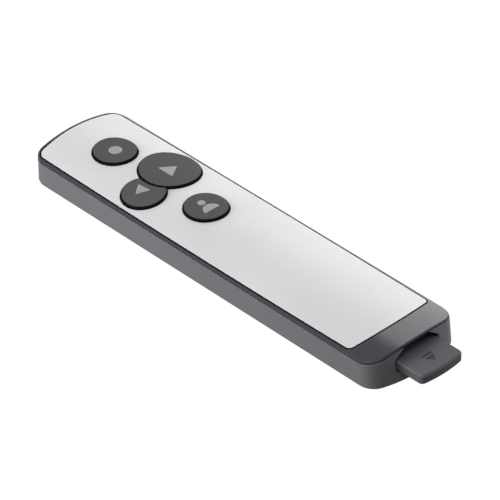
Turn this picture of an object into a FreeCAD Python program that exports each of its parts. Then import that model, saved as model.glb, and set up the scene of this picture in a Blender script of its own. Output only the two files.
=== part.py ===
"""Slim wireless presentation clicker, built piece by piece at its real size, in millimetres.

Frame: X is the width, +Y points to the laser end, -Y to the receiver end, +Z up. The origin lies on the
underside, in the middle of the casing's length and width.
"""
import FreeCAD, Part
import Sketcher
import math
import os

ORIGIN = FreeCAD.Vector(0, 0, 0)
UP = FreeCAD.Vector(0, 0, 1)

# Driving dimensions: name, value, what it measures.
DIMENSIONS = [
    ("case_width", 32.0, "casing width"),
    ("case_length", 135.0, "casing length along its middle"),
    ("crown_height", 10.0, "thickness along the middle line"),
    ("crown_radius", 65.0, "radius of the crowned top"),
    ("far_end_radius", 105.0, "plan radius of the laser end"),
    ("far_corner", 5.1, "plan corner radius at the laser end"),
    ("near_end_radius", 98.0, "plan radius of the receiver end at the top"),
    ("near_foot_radius", 41.0, "plan radius of the receiver end at the underside"),
    ("near_corner", 5.3, "plan corner radius at the receiver end"),
    ("near_lean", 2.2, "how far the receiver end stands out more at its foot than at its top"),
    ("case_wall", 1.4, "casing wall"),
    ("floor_thickness", 1.2, "casing floor"),
    ("foot_fillet", 0.6, "rounding of the underside's edge"),
    ("rim_height", 0.7, "visible height of the frame's edge"),
    ("rim_bevel", 0.3, "bevel of the frame's edge"),
    ("parting_gap", 0.12, "shadow line between the frame and the casing"),
    ("lip_width", 1.28, "frame's edge beside the plate"),
    ("strip_length", 8.45, "frame's bare strip at the receiver end"),
    ("plate_gap", 0.15, "gap round the plate"),
    ("plate_far_corner", 3.8, "plate corner radius at the laser end"),
    ("plate_near_corner", 4.5, "plate corner radius at the receiver end"),
    ("plate_thickness", 0.4, "aluminium plate"),
    ("film_thickness", 0.15, "adhesive film under the plate"),
    ("film_inset", 0.25, "film edge inside the plate edge"),
    ("deck_thickness", 1.0, "frame's deck under the plate"),
    ("skirt_thickness", 0.4, "frame's skirt inside the casing wall"),
    ("skirt_clearance", 0.1, "skirt to casing wall"),
    ("skirt_drop", 3.6, "skirt's foot below the crown's top"),
    ("small_button_share", 0.4314, "three small buttons' share of the plate's width"),
    ("next_button_share", 0.601, "next button's share of the plate's width"),
    ("button_rise", 0.8, "how far the buttons stand above the plate"),
    ("button_gap", 0.25, "gap round each button"),
    ("button_edge", 0.3, "bevel of the buttons' top edge"),
    ("flange_width", 0.9, "flange that keeps a button in"),
    ("flange_clearance", 0.1, "flange to deck"),
    ("button_depth", 3.0, "flange's foot below the crown's top"),
    ("button_travel", 0.4, "how far a button goes down"),
    ("laser_button_gap", 0.7, "laser button's flange behind the laser module"),
    ("next_button_step", 16.8, "laser button to next button along the casing"),
    ("back_button_step", 19.6, "laser button to back button along the casing"),
    ("presenter_button_step", 36.5, "laser button to presenter button along the casing"),
    ("next_button_web", 0.72, "plate left beside the next button"),
    ("back_button_web", 0.77, "plate left beside the back button"),
    ("stem_diameter", 2.6, "stem under a button"),
    ("stem_length", 0.3, "stem under a button"),
    ("plunger_diameter", 2.0, "switch plunger"),
    ("plunger_fit", 0.1, "plunger to its bore"),
    ("plunger_spare", 0.05, "plunger height left when it is pressed"),
    ("switch_side", 4.6, "button switch"),
    ("switch_height", 1.5, "button switch"),
    ("switch_floor", 0.3, "bottom of a button switch"),
    ("board_gap", 1.4, "circuit board to the casing walls"),
    ("board_cell_gap", 0.6, "circuit board to the coin cell's ring"),
    ("board_laser_gap", 4.55, "circuit board to the laser module"),
    ("board_thickness", 1.0, "circuit board"),
    ("board_corner", 1.0, "circuit board's corners"),
    ("board_post", 3.6, "diameter of the board's posts"),
    ("board_post_inset", 2.6, "board's posts from its edges"),
    ("screw_wall_inset", 1.8, "case screws from the casing's inner walls"),
    ("screw_near_inset", 13.5, "case screws from the receiver end"),
    ("screw_far_inset", 9.5, "case screws from the laser end"),
    ("screw_shank", 1.5, "screw shank diameter"),
    ("screw_head", 3.0, "screw head diameter"),
    ("screw_head_height", 0.9, "screw head"),
    ("screw_sink", 0.4, "screw head below the underside"),
    ("screw_bite", 2.2, "screw in the frame's post"),
    ("screw_clearance", 0.15, "round the screw in the casing"),
    ("screw_boss", 3.8, "diameter of the screw bosses"),
    ("drive_length", 1.8, "cross in a screw's head"),
    ("drive_width", 0.45, "cross in a screw's head"),
    ("drive_depth", 0.5, "cross in a screw's head"),
    ("boss_height", 5.0, "top of the casing's screw bosses"),
    ("receiver_width", 15.4, "receiver cap"),
    ("receiver_thickness", 3.0, "receiver cap"),
    ("receiver_level", 3.5, "underside of the receiver cap"),
    ("receiver_out", 7.9, "how far the receiver is drawn out"),
    ("receiver_cap", 22.0, "length of the receiver cap"),
    ("receiver_corner", 1.6, "receiver cap's corner radius in plan"),
    ("receiver_back_radius", 200.0, "receiver cap's inner end in plan"),
    ("receiver_back_corner", 1.0, "receiver cap's inner corners in plan"),
    ("receiver_bevel", 0.45, "bevel round the receiver cap's end"),
    ("tongue_width", 12.0, "receiver's plug tongue"),
    ("tongue_thickness", 2.1, "receiver's plug tongue"),
    ("tongue_length", 12.0, "receiver's plug tongue outside the cap"),
    ("tongue_root", 7.0, "receiver's board inside the cap"),
    ("tongue_fit", 0.05, "board to the cap's pocket"),
    ("tongue_bevel", 0.4, "bevel round the tongue's tip"),
    ("pad_thickness", 0.1, "plug contacts"),
    ("pad_width", 1.2, "plug contacts"),
    ("pad_pitch", 2.5, "between plug contacts, one from the next"),
    ("pad_length", 7.4, "outer plug contacts"),
    ("pad_step", 1.0, "how much shorter the inner contacts are"),
    ("pad_setback", 1.2, "plug contacts behind the tongue's tip"),
    ("bay_clearance", 0.15, "receiver in its bay"),
    ("bay_wall", 1.0, "bay's walls"),
    ("bay_setback", 0.6, "bay's mouth behind the casing wall"),
    ("bay_end_gap", 0.3, "stored plug to the bay's end"),
    ("mouth_clearance", 0.4, "receiver in the casing's mouth"),
    ("mouth_top", 9.0, "width of the thumb notch at the frame"),
    ("mouth_shoulder", 0.3, "mouth above the receiver before it narrows"),
    ("cell_diameter", 20.0, "coin cell"),
    ("cell_thickness", 3.2, "coin cell"),
    ("cell_bay_gap", 2.3, "coin cell's ring to the receiver's bay"),
    ("cell_clearance", 0.3, "coin cell in its ring"),
    ("cell_ring_wall", 0.8, "ring round the coin cell"),
    ("cell_ring_height", 3.4, "ring round the coin cell above the floor"),
    ("cell_seat_gap", 0.05, "coin cell above its cover"),
    ("cell_step", 0.3, "raised face of the coin cell"),
    ("cell_rim", 1.2, "coin cell's edge round its raised face"),
    ("cover_diameter", 24.0, "battery cover"),
    ("cover_thickness", 0.6, "battery cover's rim"),
    ("cover_gap", 0.25, "round the battery cover"),
    ("cover_ledge", 1.4, "casing ledge that carries the cover"),
    ("cover_tab_gap", 0.1, "cover's tabs above the ledge"),
    ("cover_tab_height", 0.5, "cover's tabs"),
    ("cover_tab_reach", 1.0, "cover's tabs over the ledge"),
    ("cover_tab_width", 7.0, "cover's tabs"),
    ("cover_tab_clearance", 0.25, "round the cover's tabs"),
    ("cover_turn", 50.0, "turn from locked to open in degrees"),
    ("coin_slot_length", 13.0, "coin slot"),
    ("coin_slot_width", 1.8, "coin slot"),
    ("coin_slot_depth", 0.5, "coin slot"),
    ("laser_diameter", 6.0, "laser module"),
    ("laser_length", 7.8, "laser module"),
    ("cradle_floor", 0.4, "cradle under the laser module"),
    ("cradle_inset", 1.6, "cradle inside the laser module's ends"),
    ("laser_aperture", 3.6, "hole in the end wall"),
    ("laser_setback", 0.75, "laser module behind the end wall"),
    ("lens_diameter", 3.4, "laser lens"),
    ("lens_thickness", 1.0, "laser lens"),
    ("lens_sink", 0.3, "laser lens inside the barrel's front"),
    ("power_inset", 9.5, "power knob from the board's end at the battery"),
    ("power_knob_length", 3.0, "power knob along the casing"),
    ("power_knob_height", 1.5, "power knob"),
    ("power_knob_out", 0.5, "power knob outside the wall"),
    ("power_travel", 3.0, "power knob"),
    ("power_gap", 0.15, "round the power knob"),
    ("power_flange", 0.8, "power knob's flange thickness and overlap"),
    ("power_arm", 1.6, "width of the arm that moves the power switch"),
    ("power_arm_height", 0.7, "the arm"),
    ("power_switch_width", 3.5, "power switch across the board"),
    ("power_switch_length", 10.0, "power switch along the board"),
    ("power_switch_height", 1.4, "power switch"),
    ("chip_side", 5.0, "radio chip"),
    ("chip_height", 0.9, "radio chip"),
    ("chip_side_inset", 7.2, "middle of the radio chip from the board's side"),
    ("chip_end_inset", 8.5, "middle of the radio chip from the board's end"),
    ("crystal_length", 3.2, "crystal"),
    ("crystal_width", 2.5, "crystal"),
    ("crystal_height", 0.7, "crystal"),
    ("crystal_step", 5.2, "radio chip to crystal"),
    ("antenna_length", 7.0, "antenna"),
    ("antenna_width", 2.0, "antenna"),
    ("antenna_height", 1.0, "antenna"),
    ("antenna_side_inset", 4.2, "middle of the antenna from the board's side"),
    ("antenna_end_inset", 2.0, "middle of the antenna from the board's end"),
    ("contact_thickness", 0.2, "battery contact strip"),
    ("contact_width", 3.0, "battery contact strip"),
    ("contact_x", 4.2, "battery contacts either side of the middle"),
    ("contact_foot", 2.0, "battery contact soldered on the board"),
    ("contact_gap", 0.05, "battery contact to cell"),
]

doc = FreeCAD.newDocument("clicker")
sheet = doc.addObject("Spreadsheet::Sheet", "sizes")
for row, (name, value, meaning) in enumerate(DIMENSIONS, start=1):
    sheet.set("A%d" % row, name)
    sheet.set("B%d" % row, str(value))
    sheet.setAlias("B%d" % row, name)
    sheet.set("C%d" % row, meaning)
doc.recompute()


class Size:
    """A length known twice: as a number and as the expression that ties it to the sheet."""

    def __init__(self, value, text):
        self.value = value
        self.text = text

    def __add__(self, other):
        other = as_size(other)
        return Size(self.value + other.value, "(%s + %s)" % (self.text, other.text))

    def __sub__(self, other):
        other = as_size(other)
        return Size(self.value - other.value, "(%s - %s)" % (self.text, other.text))

    def __mul__(self, factor):
        factor = as_size(factor)
        return Size(self.value * factor.value, "(%s * %s)" % (self.text, factor.text))

    def __truediv__(self, factor):
        return Size(self.value / factor, "(%s / %s)" % (self.text, repr(float(factor))))

    def __neg__(self):
        return Size(-self.value, "(0 - %s)" % self.text)


def as_size(number):
    return number if isinstance(number, Size) else Size(float(number), repr(float(number)))


def dim(name):
    """A driving dimension."""
    return Size(float(sheet.get(name)), "sizes." + name)


def leg(hypotenuse, other):
    """Third side of a right triangle."""
    value = math.sqrt(hypotenuse.value ** 2 - other.value ** 2)
    return Size(value, "sqrt(%s * %s - %s * %s)" % (hypotenuse.text, hypotenuse.text, other.text, other.text))


def bind(thing, field, size):
    thing.setExpression(field, as_size(size).text)


ZERO = as_size(0)
HALF_WIDTH = dim("case_width") / 2
HALF_LENGTH = dim("case_length") / 2
TOP = dim("crown_height")
CROWN_AXIS = TOP - dim("crown_radius")
R_TOP = dim("crown_radius")
R_RIM_FOOT = R_TOP - dim("rim_height")
R_CASE = R_RIM_FOOT - dim("parting_gap")
R_PLATE_FOOT = R_TOP - dim("plate_thickness")
R_DECK = R_PLATE_FOOT - dim("film_thickness")
R_DECK_FOOT = R_DECK - dim("deck_thickness")
R_BUTTON = R_TOP + dim("button_rise")
FAR_APEX = HALF_LENGTH
FOOT_APEX = -HALF_LENGTH
NEAR_APEX = dim("near_lean") - HALF_LENGTH
FLANGE_FOOT = TOP - dim("button_depth")
PLUNGER_TOP = FLANGE_FOOT - dim("stem_length")
SWITCH_TOP = PLUNGER_TOP - dim("button_travel") - dim("plunger_spare")
BOARD_TOP = SWITCH_TOP - dim("switch_height")
BOARD_FOOT = BOARD_TOP - dim("board_thickness")
SKIRT_FOOT = TOP - dim("skirt_drop")
MARGIN = HALF_WIDTH
BEVEL = as_size(1 - math.sqrt(0.5))


class Outline:
    """Plan outline of a bar: straight sides, wide arcs at both ends, rounded corners."""

    def __init__(self, half, far, far_radius, far_corner, near, near_radius, near_corner):
        self.half = half
        self.far, self.far_radius, self.far_corner = far, far_radius, far_corner
        self.near, self.near_radius, self.near_corner = near, near_radius, near_corner

    def inset(self, side, near=None, far_corner=None, near_corner=None):
        """The outline drawn in by a distance, with another distance at the near end if one is given."""
        near = side if near is None else near
        return Outline(
            self.half - side,
            self.far - side,
            self.far_radius - side,
            far_corner or self.far_corner - side,
            self.near + near,
            self.near_radius - near,
            near_corner or self.near_corner - side,
        )


BASE = Outline(
    HALF_WIDTH, FAR_APEX, dim("far_end_radius"), dim("far_corner"),
    FOOT_APEX, dim("near_foot_radius"), dim("near_corner"),
)
RIM = Outline(
    HALF_WIDTH, FAR_APEX, dim("far_end_radius"), dim("far_corner"),
    NEAR_APEX, dim("near_end_radius"), dim("near_corner"),
)
CAVITY = RIM.inset(dim("case_wall"))
SKIRT = CAVITY.inset(dim("skirt_clearance"))
SKIRT_INSIDE = SKIRT.inset(dim("skirt_thickness"))
RECESS = RIM.inset(
    dim("lip_width") - dim("plate_gap"), dim("strip_length") - dim("plate_gap"),
    dim("plate_far_corner") + dim("plate_gap"), dim("plate_near_corner") + dim("plate_gap"),
)
PLATE = RIM.inset(
    dim("lip_width"), dim("strip_length"), dim("plate_far_corner"), dim("plate_near_corner"),
)
FILM = PLATE.inset(dim("film_inset"))
BUTTON_LIMIT = SKIRT_INSIDE.half - dim("button_gap")
RECEIVER_TOP = dim("receiver_level") + dim("receiver_thickness")
RECEIVER_FRONT = FOOT_APEX - dim("receiver_out")
CAP_BACK = RECEIVER_FRONT + dim("receiver_cap")
TONGUE_TIP = CAP_BACK + dim("tongue_length")
TONGUE_FOOT = dim("receiver_level") + (dim("receiver_thickness") - dim("tongue_thickness")) / 2
BAY_HALF = dim("receiver_width") / 2 + dim("bay_clearance")
BAY_MOUTH = CAVITY.near + dim("bay_setback")
BAY_STOP = TONGUE_TIP + dim("receiver_out") + dim("bay_end_gap")
BAY_END = BAY_STOP + dim("bay_wall")

COVER_RECESS = dim("cover_diameter") / 2 + dim("cover_gap")
COVER_TOP = dim("floor_thickness") + dim("cover_tab_gap") + dim("cover_tab_height")
TAB_REACH = COVER_RECESS - dim("cover_ledge") + dim("cover_tab_reach")
TAB_ROOM = TAB_REACH + dim("cover_tab_clearance")
CELL_RING = TAB_ROOM + dim("cell_ring_wall")
CELL_HOLE = dim("cell_diameter") / 2 + dim("cell_clearance")
CELL_FOOT = COVER_TOP + dim("cell_seat_gap")
CELL_TOP = CELL_FOOT + dim("cell_thickness")
CELL_Y = BAY_END + dim("cell_bay_gap") + CELL_RING

LASER_FRONT = CAVITY.far - dim("laser_setback")
LASER_REAR = LASER_FRONT - dim("laser_length")
LASER_LEVEL = dim("floor_thickness") + dim("cradle_floor") + dim("laser_diameter") / 2

BOARD_HALF = CAVITY.half - dim("board_gap")
BOARD_NEAR = CELL_Y + CELL_RING + dim("board_cell_gap")
BOARD_FAR = LASER_REAR - dim("board_laser_gap")
CHIP_X = dim("chip_side_inset") - BOARD_HALF
CHIP_Y = BOARD_NEAR + dim("chip_end_inset")
POWER_Y = BOARD_NEAR + dim("power_inset")
POWER_LEVEL = SKIRT_FOOT - dim("power_gap") - dim("power_flange") - dim("power_knob_height") / 2

SMALL_RADIUS = PLATE.half * dim("small_button_share")
NEXT_RADIUS = PLATE.half * dim("next_button_share")
LASER_BUTTON_Y = LASER_REAR - dim("laser_button_gap") - dim("flange_width") - SMALL_RADIUS
NEXT_X = PLATE.half - dim("next_button_web") - dim("button_gap") - NEXT_RADIUS
BACK_X = SMALL_RADIUS + dim("button_gap") + dim("back_button_web") - PLATE.half
BUTTONS = {
    "laser": (ZERO, LASER_BUTTON_Y, SMALL_RADIUS),
    "next": (NEXT_X, LASER_BUTTON_Y - dim("next_button_step"), NEXT_RADIUS),
    "back": (BACK_X, LASER_BUTTON_Y - dim("back_button_step"), SMALL_RADIUS),
    "presenter": (ZERO, LASER_BUTTON_Y - dim("presenter_button_step"), SMALL_RADIUS),
}
SCREW_X = CAVITY.half - dim("screw_wall_inset")
SCREWS = [
    (x, y)
    for y in (FOOT_APEX + dim("screw_near_inset"), FAR_APEX - dim("screw_far_inset"))
    for x in (SCREW_X, -SCREW_X)
]



# Sketches

def constrain(sketch, *parts):
    return sketch.addConstraint(Sketcher.Constraint(*parts))


def hold(sketch, kind, parts, size):
    """A dimension on a sketch, tied to the sheet."""
    index = constrain(sketch, kind, *parts, size.value)
    sketch.setExpression("Constraints[%d]" % index, size.text)


def place_point(sketch, geometry, point, x, y):
    for axis, kind, size in ((-2, "DistanceX", x), (-1, "DistanceY", y)):
        if size is ZERO:
            constrain(sketch, "PointOnObject", geometry, point, axis)
        else:
            hold(sketch, kind, (-1, 1, geometry, point), size)


def draw_circle(sketch, x, y, radius):
    centre = FreeCAD.Vector(x.value, y.value, 0)
    index = sketch.addGeometry(Part.Circle(centre, UP, radius.value), False)
    hold(sketch, "Radius", (index,), radius)
    place_point(sketch, index, 3, x, y)


def draw_polygon(sketch, points):
    corners = [FreeCAD.Vector(x.value, y.value, 0) for x, y in points]
    first = sketch.GeometryCount
    count = len(points)
    for k in range(count):
        sketch.addGeometry(Part.LineSegment(corners[k], corners[(k + 1) % count]), False)
    for k in range(count):
        constrain(sketch, "Coincident", first + k, 2, first + (k + 1) % count, 1)
        place_point(sketch, first + k, 1, *points[k])


def draw_box(sketch, x0, x1, y0, y1):
    draw_polygon(sketch, [(x0, y0), (x1, y0), (x1, y1), (x0, y1)])


def end_arcs(half, apex, radius, corner, sign):
    """Centres and meeting angle of an end's wide arc and its corner arcs."""
    centre = apex - sign * radius
    reach = math.sqrt((radius - corner) ** 2 - (half - corner) ** 2)
    return centre, centre + sign * reach, math.asin((half - corner) / (radius - corner))


def arc(x, y, radius, start, end):
    return Part.ArcOfCircle(Part.Circle(FreeCAD.Vector(x, y, 0), UP, radius), start, end)


def draw_outline(sketch, o):
    """Two side lines and six arcs, tangent all round, drawn anticlockwise from the right side."""
    w, rf, cf, rn, cn = (v.value for v in (o.half, o.far_radius, o.far_corner, o.near_radius, o.near_corner))
    far, far_y, far_turn = end_arcs(w, o.far.value, rf, cf, 1)
    near, near_y, near_turn = end_arcs(w, o.near.value, rn, cn, -1)
    quarter = math.pi / 2
    first = sketch.GeometryCount
    shapes = [
        Part.LineSegment(FreeCAD.Vector(w, near_y, 0), FreeCAD.Vector(w, far_y, 0)),
        arc(w - cf, far_y, cf, 0, quarter - far_turn),
        arc(0, far, rf, quarter - far_turn, quarter + far_turn),
        arc(cf - w, far_y, cf, quarter + far_turn, 2 * quarter),
        Part.LineSegment(FreeCAD.Vector(-w, far_y, 0), FreeCAD.Vector(-w, near_y, 0)),
        arc(cn - w, near_y, cn, 2 * quarter, 3 * quarter - near_turn),
        arc(0, near, rn, 3 * quarter - near_turn, 3 * quarter + near_turn),
        arc(w - cn, near_y, cn, 3 * quarter + near_turn, 4 * quarter),
    ]
    for shape in shapes:
        sketch.addGeometry(shape, False)
    for k in range(8):
        constrain(sketch, "Tangent", first + k, 2, first + (k + 1) % 8, 1)
    for k, side in ((0, o.half), (4, -o.half)):
        constrain(sketch, "Vertical", first + k)
        hold(sketch, "DistanceX", (-1, 1, first + k, 1), side)
    for k, radius in ((1, o.far_corner), (3, o.far_corner), (5, o.near_corner), (7, o.near_corner)):
        hold(sketch, "Radius", (first + k,), radius)
    for k, radius, centre in (
        (2, o.far_radius, o.far - o.far_radius), (6, o.near_radius, o.near + o.near_radius),
    ):
        hold(sketch, "Radius", (first + k,), radius)
        place_point(sketch, first + k, 3, ZERO, centre)


# Solids by pads, pockets and lofts

def new_body(label):
    body = doc.addObject("PartDesign::Body", label)
    body.Label = label
    return body


def new_sketch(body, name, role="XY_Plane", level=None):
    """A sketch on one of the body's own planes, at a level along that plane's axis."""
    sketch = body.newObject("Sketcher::SketchObject", name)
    plane = [f for f in body.Origin.OriginFeatures if f.Role == role][0]
    sketch.AttachmentSupport = (plane, [""])
    sketch.MapMode = "FlatFace"
    if level is not None:
        bind(sketch, ".AttachmentOffset.Base.z", level)
    return sketch


def pad(body, sketch, length, name):
    feature = body.newObject("PartDesign::Pad", name)
    feature.Profile = sketch
    feature.Type = "Length"
    bind(feature, "Length", length)
    return feature


def pocket(body, sketch, name, length=None, reverse=False, both=False):
    """A cut along the sketch's axis: through all without a length, and checked to take something away."""
    doc.recompute()
    before = body.Shape.Volume
    feature = body.newObject("PartDesign::Pocket", name)
    feature.Profile = sketch
    feature.Reversed = reverse
    if both:
        feature.SideType = "Symmetric"
    if length is None:
        feature.Type = "ThroughAll"
    else:
        feature.Type = "Length"
        bind(feature, "Length", length)
    doc.recompute()
    if body.Shape.Volume >= before - 1e-6:
        raise RuntimeError("%s cuts nothing" % name)
    return feature


def crown_trim(body, radius, name, centre_x=ZERO):
    """Takes away all that stands above the crowned surface of this radius."""
    sketch = new_sketch(body, name + "_ring", "XZ_Plane")
    draw_circle(sketch, centre_x, CROWN_AXIS, radius)
    draw_circle(sketch, centre_x, CROWN_AXIS, radius + MARGIN)
    return pocket(body, sketch, name, both=True)


def on_crown(edge, radius, centre_x=0.0):
    """True where the whole edge lies on the crowned surface of this radius."""
    first, last = edge.ParameterRange
    for k in range(5):
        point = edge.valueAt(first + (last - first) * k / 4)
        if abs(math.hypot(point.x - centre_x, point.z - CROWN_AXIS.value) - radius) > 1e-4:
            return False
    return True


def edge_names(shape, test):
    return ["Edge%d" % n for n, edge in enumerate(shape.Edges, start=1) if test(edge)]


def treat_edges(body, kind, field, test, size, name):
    """Changes the edges that pass the test."""
    doc.recompute()
    names = edge_names(body.Tip.Shape, test)
    if not names:
        raise RuntimeError("%s finds no edge" % name)
    base = body.Tip
    feature = body.newObject(kind, name)
    feature.Base = (base, names)
    bind(feature, field, size)
    doc.recompute()


def round_edges(body, test, radius, name):
    treat_edges(body, "PartDesign::Fillet", "Radius", test, radius, name)


def bevel_edges(body, test, width, name):
    treat_edges(body, "PartDesign::Chamfer", "Size", test, width, name)


def flat_at(level):
    """Test for an edge that lies flat at this height."""
    def test(edge):
        box = edge.BoundBox
        return abs(box.ZMin - level) < 1e-4 and abs(box.ZMax - level) < 1e-4
    return test


# Solids by primitives and booleans

def put(thing, x=ZERO, y=ZERO, z=ZERO):
    for axis, size in (("x", x), ("y", y), ("z", z)):
        bind(thing, ".Placement.Base." + axis, size)
    return thing


def crown_cylinder(name, radius):
    """The cylinder along Y whose top is the crowned surface of this radius."""
    cylinder = doc.addObject("Part::Cylinder", name)
    bind(cylinder, "Radius", radius)
    bind(cylinder, "Height", HALF_LENGTH * 2 + MARGIN)
    cylinder.Placement.Rotation = FreeCAD.Rotation(FreeCAD.Vector(1, 0, 0), -90)
    return put(cylinder, ZERO, -HALF_LENGTH - MARGIN / 2, CROWN_AXIS)


def upright(name, x, y, z, radius, height):
    cylinder = doc.addObject("Part::Cylinder", name)
    bind(cylinder, "Radius", radius)
    bind(cylinder, "Height", height)
    return put(cylinder, x, y, z)


def lengthwise(name, x, y, z, radius, length):
    """A cylinder along +Y from this point."""
    cylinder = doc.addObject("Part::Cylinder", name)
    bind(cylinder, "Radius", radius)
    bind(cylinder, "Height", length)
    cylinder.Placement.Rotation = FreeCAD.Rotation(FreeCAD.Vector(1, 0, 0), -90)
    return put(cylinder, x, y, z)


def block(name, x0, x1, y0, y1, z0, z1):
    box = doc.addObject("Part::Box", name)
    bind(box, "Length", x1 - x0)
    bind(box, "Width", y1 - y0)
    bind(box, "Height", z1 - z0)
    return put(box, x0, y0, z0)


def prism(name, outline, bottom, top):
    sketch = doc.addObject("Sketcher::SketchObject", name + "_plan")
    draw_outline(sketch, outline)
    put(sketch, ZERO, ZERO, bottom)
    solid = doc.addObject("Part::Extrusion", name)
    solid.Base = sketch
    solid.DirMode = "Normal"
    solid.Solid = True
    bind(solid, "LengthFwd", top - bottom)
    return solid


def cut(name, base, tool):
    thing = doc.addObject("Part::Cut", name)
    thing.Base, thing.Tool = base, tool
    return thing


def fuse(name, things):
    thing = doc.addObject("Part::MultiFuse", name)
    thing.Shapes = things
    return thing


def common(name, things):
    thing = doc.addObject("Part::MultiCommon", name)
    thing.Shapes = things
    return thing


def gather(name, things):
    """Separate solids that share one node."""
    thing = doc.addObject("Part::Compound", name)
    thing.Links = things
    return thing


# The casing

def make_lower_case():
    body = new_body("lower_case")
    radius = dim("foot_fillet")
    sections = []
    for level, inset in ((ZERO, radius), (radius * BEVEL, radius * BEVEL), (radius, ZERO)):
        sketch = new_sketch(body, "case_foot_plan_%d" % len(sections), level=level)
        draw_outline(sketch, BASE.inset(inset))
        sections.append(sketch)
    top = new_sketch(body, "case_top_plan", level=TOP)
    draw_outline(top, RIM)
    loft = body.newObject("PartDesign::AdditiveLoft", "case_walls")
    loft.Profile = sections[0]
    loft.Sections = sections[1:] + [top]
    loft.Ruled = True
    crown_trim(body, R_CASE, "case_crown")
    cavity = new_sketch(body, "case_cavity_plan", level=dim("floor_thickness"))
    draw_outline(cavity, CAVITY)
    pocket(body, cavity, "case_cavity", reverse=True)
    cut_mouth(body)
    add_bosses(body)
    cut_battery_opening(body)
    cut_laser_aperture(body)
    cut_power_slot(body)
    return body


def cut_mouth(body):
    """The receiver's mouth: straight beside the receiver, narrowing above it to the thumb notch."""
    half = dim("receiver_width") / 2 + dim("mouth_clearance")
    foot = dim("receiver_level") - dim("mouth_clearance")
    shoulder = dim("receiver_level") + dim("receiver_thickness") + dim("mouth_shoulder")
    notch = dim("mouth_top") / 2
    sketch = new_sketch(body, "mouth_profile", "XZ_Plane", level=-(CAVITY.near + dim("case_wall")))
    draw_polygon(sketch, [
        (-half, foot), (half, foot), (half, shoulder), (notch, TOP - dim("rim_height")),
        (notch, TOP + MARGIN), (-notch, TOP + MARGIN), (-notch, TOP - dim("rim_height")), (-half, shoulder),
    ])
    pocket(body, sketch, "mouth", reverse=True)


def add_bosses(body):
    """Screw bosses, the board's posts, the coin cell's ring and the laser's cradle, all up from the floor."""
    floor = dim("floor_thickness")
    sketch = new_sketch(body, "boss_plan", level=floor)
    for x, y in SCREWS:
        draw_circle(sketch, x, y, dim("screw_boss") / 2)
    pad(body, sketch, dim("boss_height") - floor, "screw_bosses")
    sketch = new_sketch(body, "post_plan", level=floor)
    edge = dim("board_post_inset")
    for y in (BOARD_NEAR + edge, BOARD_FAR - edge):
        for x in (BOARD_HALF - edge, edge - BOARD_HALF):
            draw_circle(sketch, x, y, dim("board_post") / 2)
    pad(body, sketch, BOARD_FOOT - floor, "board_posts")
    groove = dim("cover_tab_height") + dim("cover_tab_gap") * 3
    for name, level, inner, height in (
        ("cell_ring_foot", floor, TAB_ROOM, groove),
        ("cell_ring", floor + groove, CELL_HOLE, dim("cell_ring_height") - groove),
    ):
        sketch = new_sketch(body, name + "_plan", level=level)
        draw_circle(sketch, ZERO, CELL_Y, inner)
        draw_circle(sketch, ZERO, CELL_Y, CELL_RING)
        pad(body, sketch, height, name)
    sketch = new_sketch(body, "contact_notch_plan", level=floor + groove)
    side = dim("contact_width") / 2 + dim("cell_clearance")
    draw_box(
        sketch, dim("contact_x") - side, dim("contact_x") + side,
        CELL_Y + dim("cell_diameter") / 4, CELL_Y + CELL_RING + dim("cell_clearance"),
    )
    pocket(body, sketch, "contact_notch", reverse=True)
    half = dim("laser_diameter") / 2 + dim("case_wall")
    sketch = new_sketch(body, "cradle_plan", level=floor)
    draw_box(
        sketch, -half, half, LASER_REAR + dim("cradle_inset"), LASER_FRONT - dim("cradle_inset"),
    )
    pad(body, sketch, LASER_LEVEL - floor, "laser_cradle")
    sketch = new_sketch(body, "cradle_groove_profile", "XZ_Plane", level=-CAVITY.far)
    draw_circle(sketch, ZERO, LASER_LEVEL, dim("laser_diameter") / 2)
    pocket(body, sketch, "cradle_groove", length=dim("laser_length") + dim("laser_setback") * 2, reverse=True)
    sketch = new_sketch(body, "screw_hole_plan", level=ZERO)
    for x, y in SCREWS:
        draw_circle(sketch, x, y, dim("screw_shank") / 2 + dim("screw_clearance"))
    pocket(body, sketch, "screw_holes", reverse=True)
    sketch = new_sketch(body, "screw_seat_plan", level=ZERO)
    for x, y in SCREWS:
        draw_circle(sketch, x, y, dim("screw_head") / 2 + dim("screw_clearance"))
    pocket(body, sketch, "screw_seats", length=dim("screw_sink") + dim("screw_head_height"), reverse=True)


def cut_battery_opening(body):
    """Round recess for the cover, the opening behind it and the two notches that pass its tabs."""
    through = dim("floor_thickness") + dim("cover_tab_gap")
    sketch = new_sketch(body, "cover_recess_plan", level=ZERO)
    draw_circle(sketch, ZERO, CELL_Y, COVER_RECESS)
    pocket(body, sketch, "cover_recess", length=dim("cover_thickness"), reverse=True)
    sketch = new_sketch(body, "cell_opening_plan", level=ZERO)
    draw_circle(sketch, ZERO, CELL_Y, COVER_RECESS - dim("cover_ledge"))
    pocket(body, sketch, "cell_opening", length=through, reverse=True)
    sketch = new_sketch(body, "tab_notch_plan", level=ZERO)
    bind(sketch, ".AttachmentOffset.Base.y", CELL_Y)
    bind(sketch, ".AttachmentOffset.Rotation.Angle", dim("cover_turn"))
    side = dim("cover_tab_width") / 2 + dim("cover_tab_clearance")
    draw_box(sketch, -TAB_ROOM, TAB_ROOM, -side, side)
    pocket(body, sketch, "tab_notches", length=through, reverse=True)


def cut_laser_aperture(body):
    sketch = new_sketch(body, "aperture_profile", "XZ_Plane", level=-LASER_FRONT)
    draw_circle(sketch, ZERO, LASER_LEVEL, dim("laser_aperture") / 2)
    pocket(body, sketch, "laser_aperture_hole", reverse=False)


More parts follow.
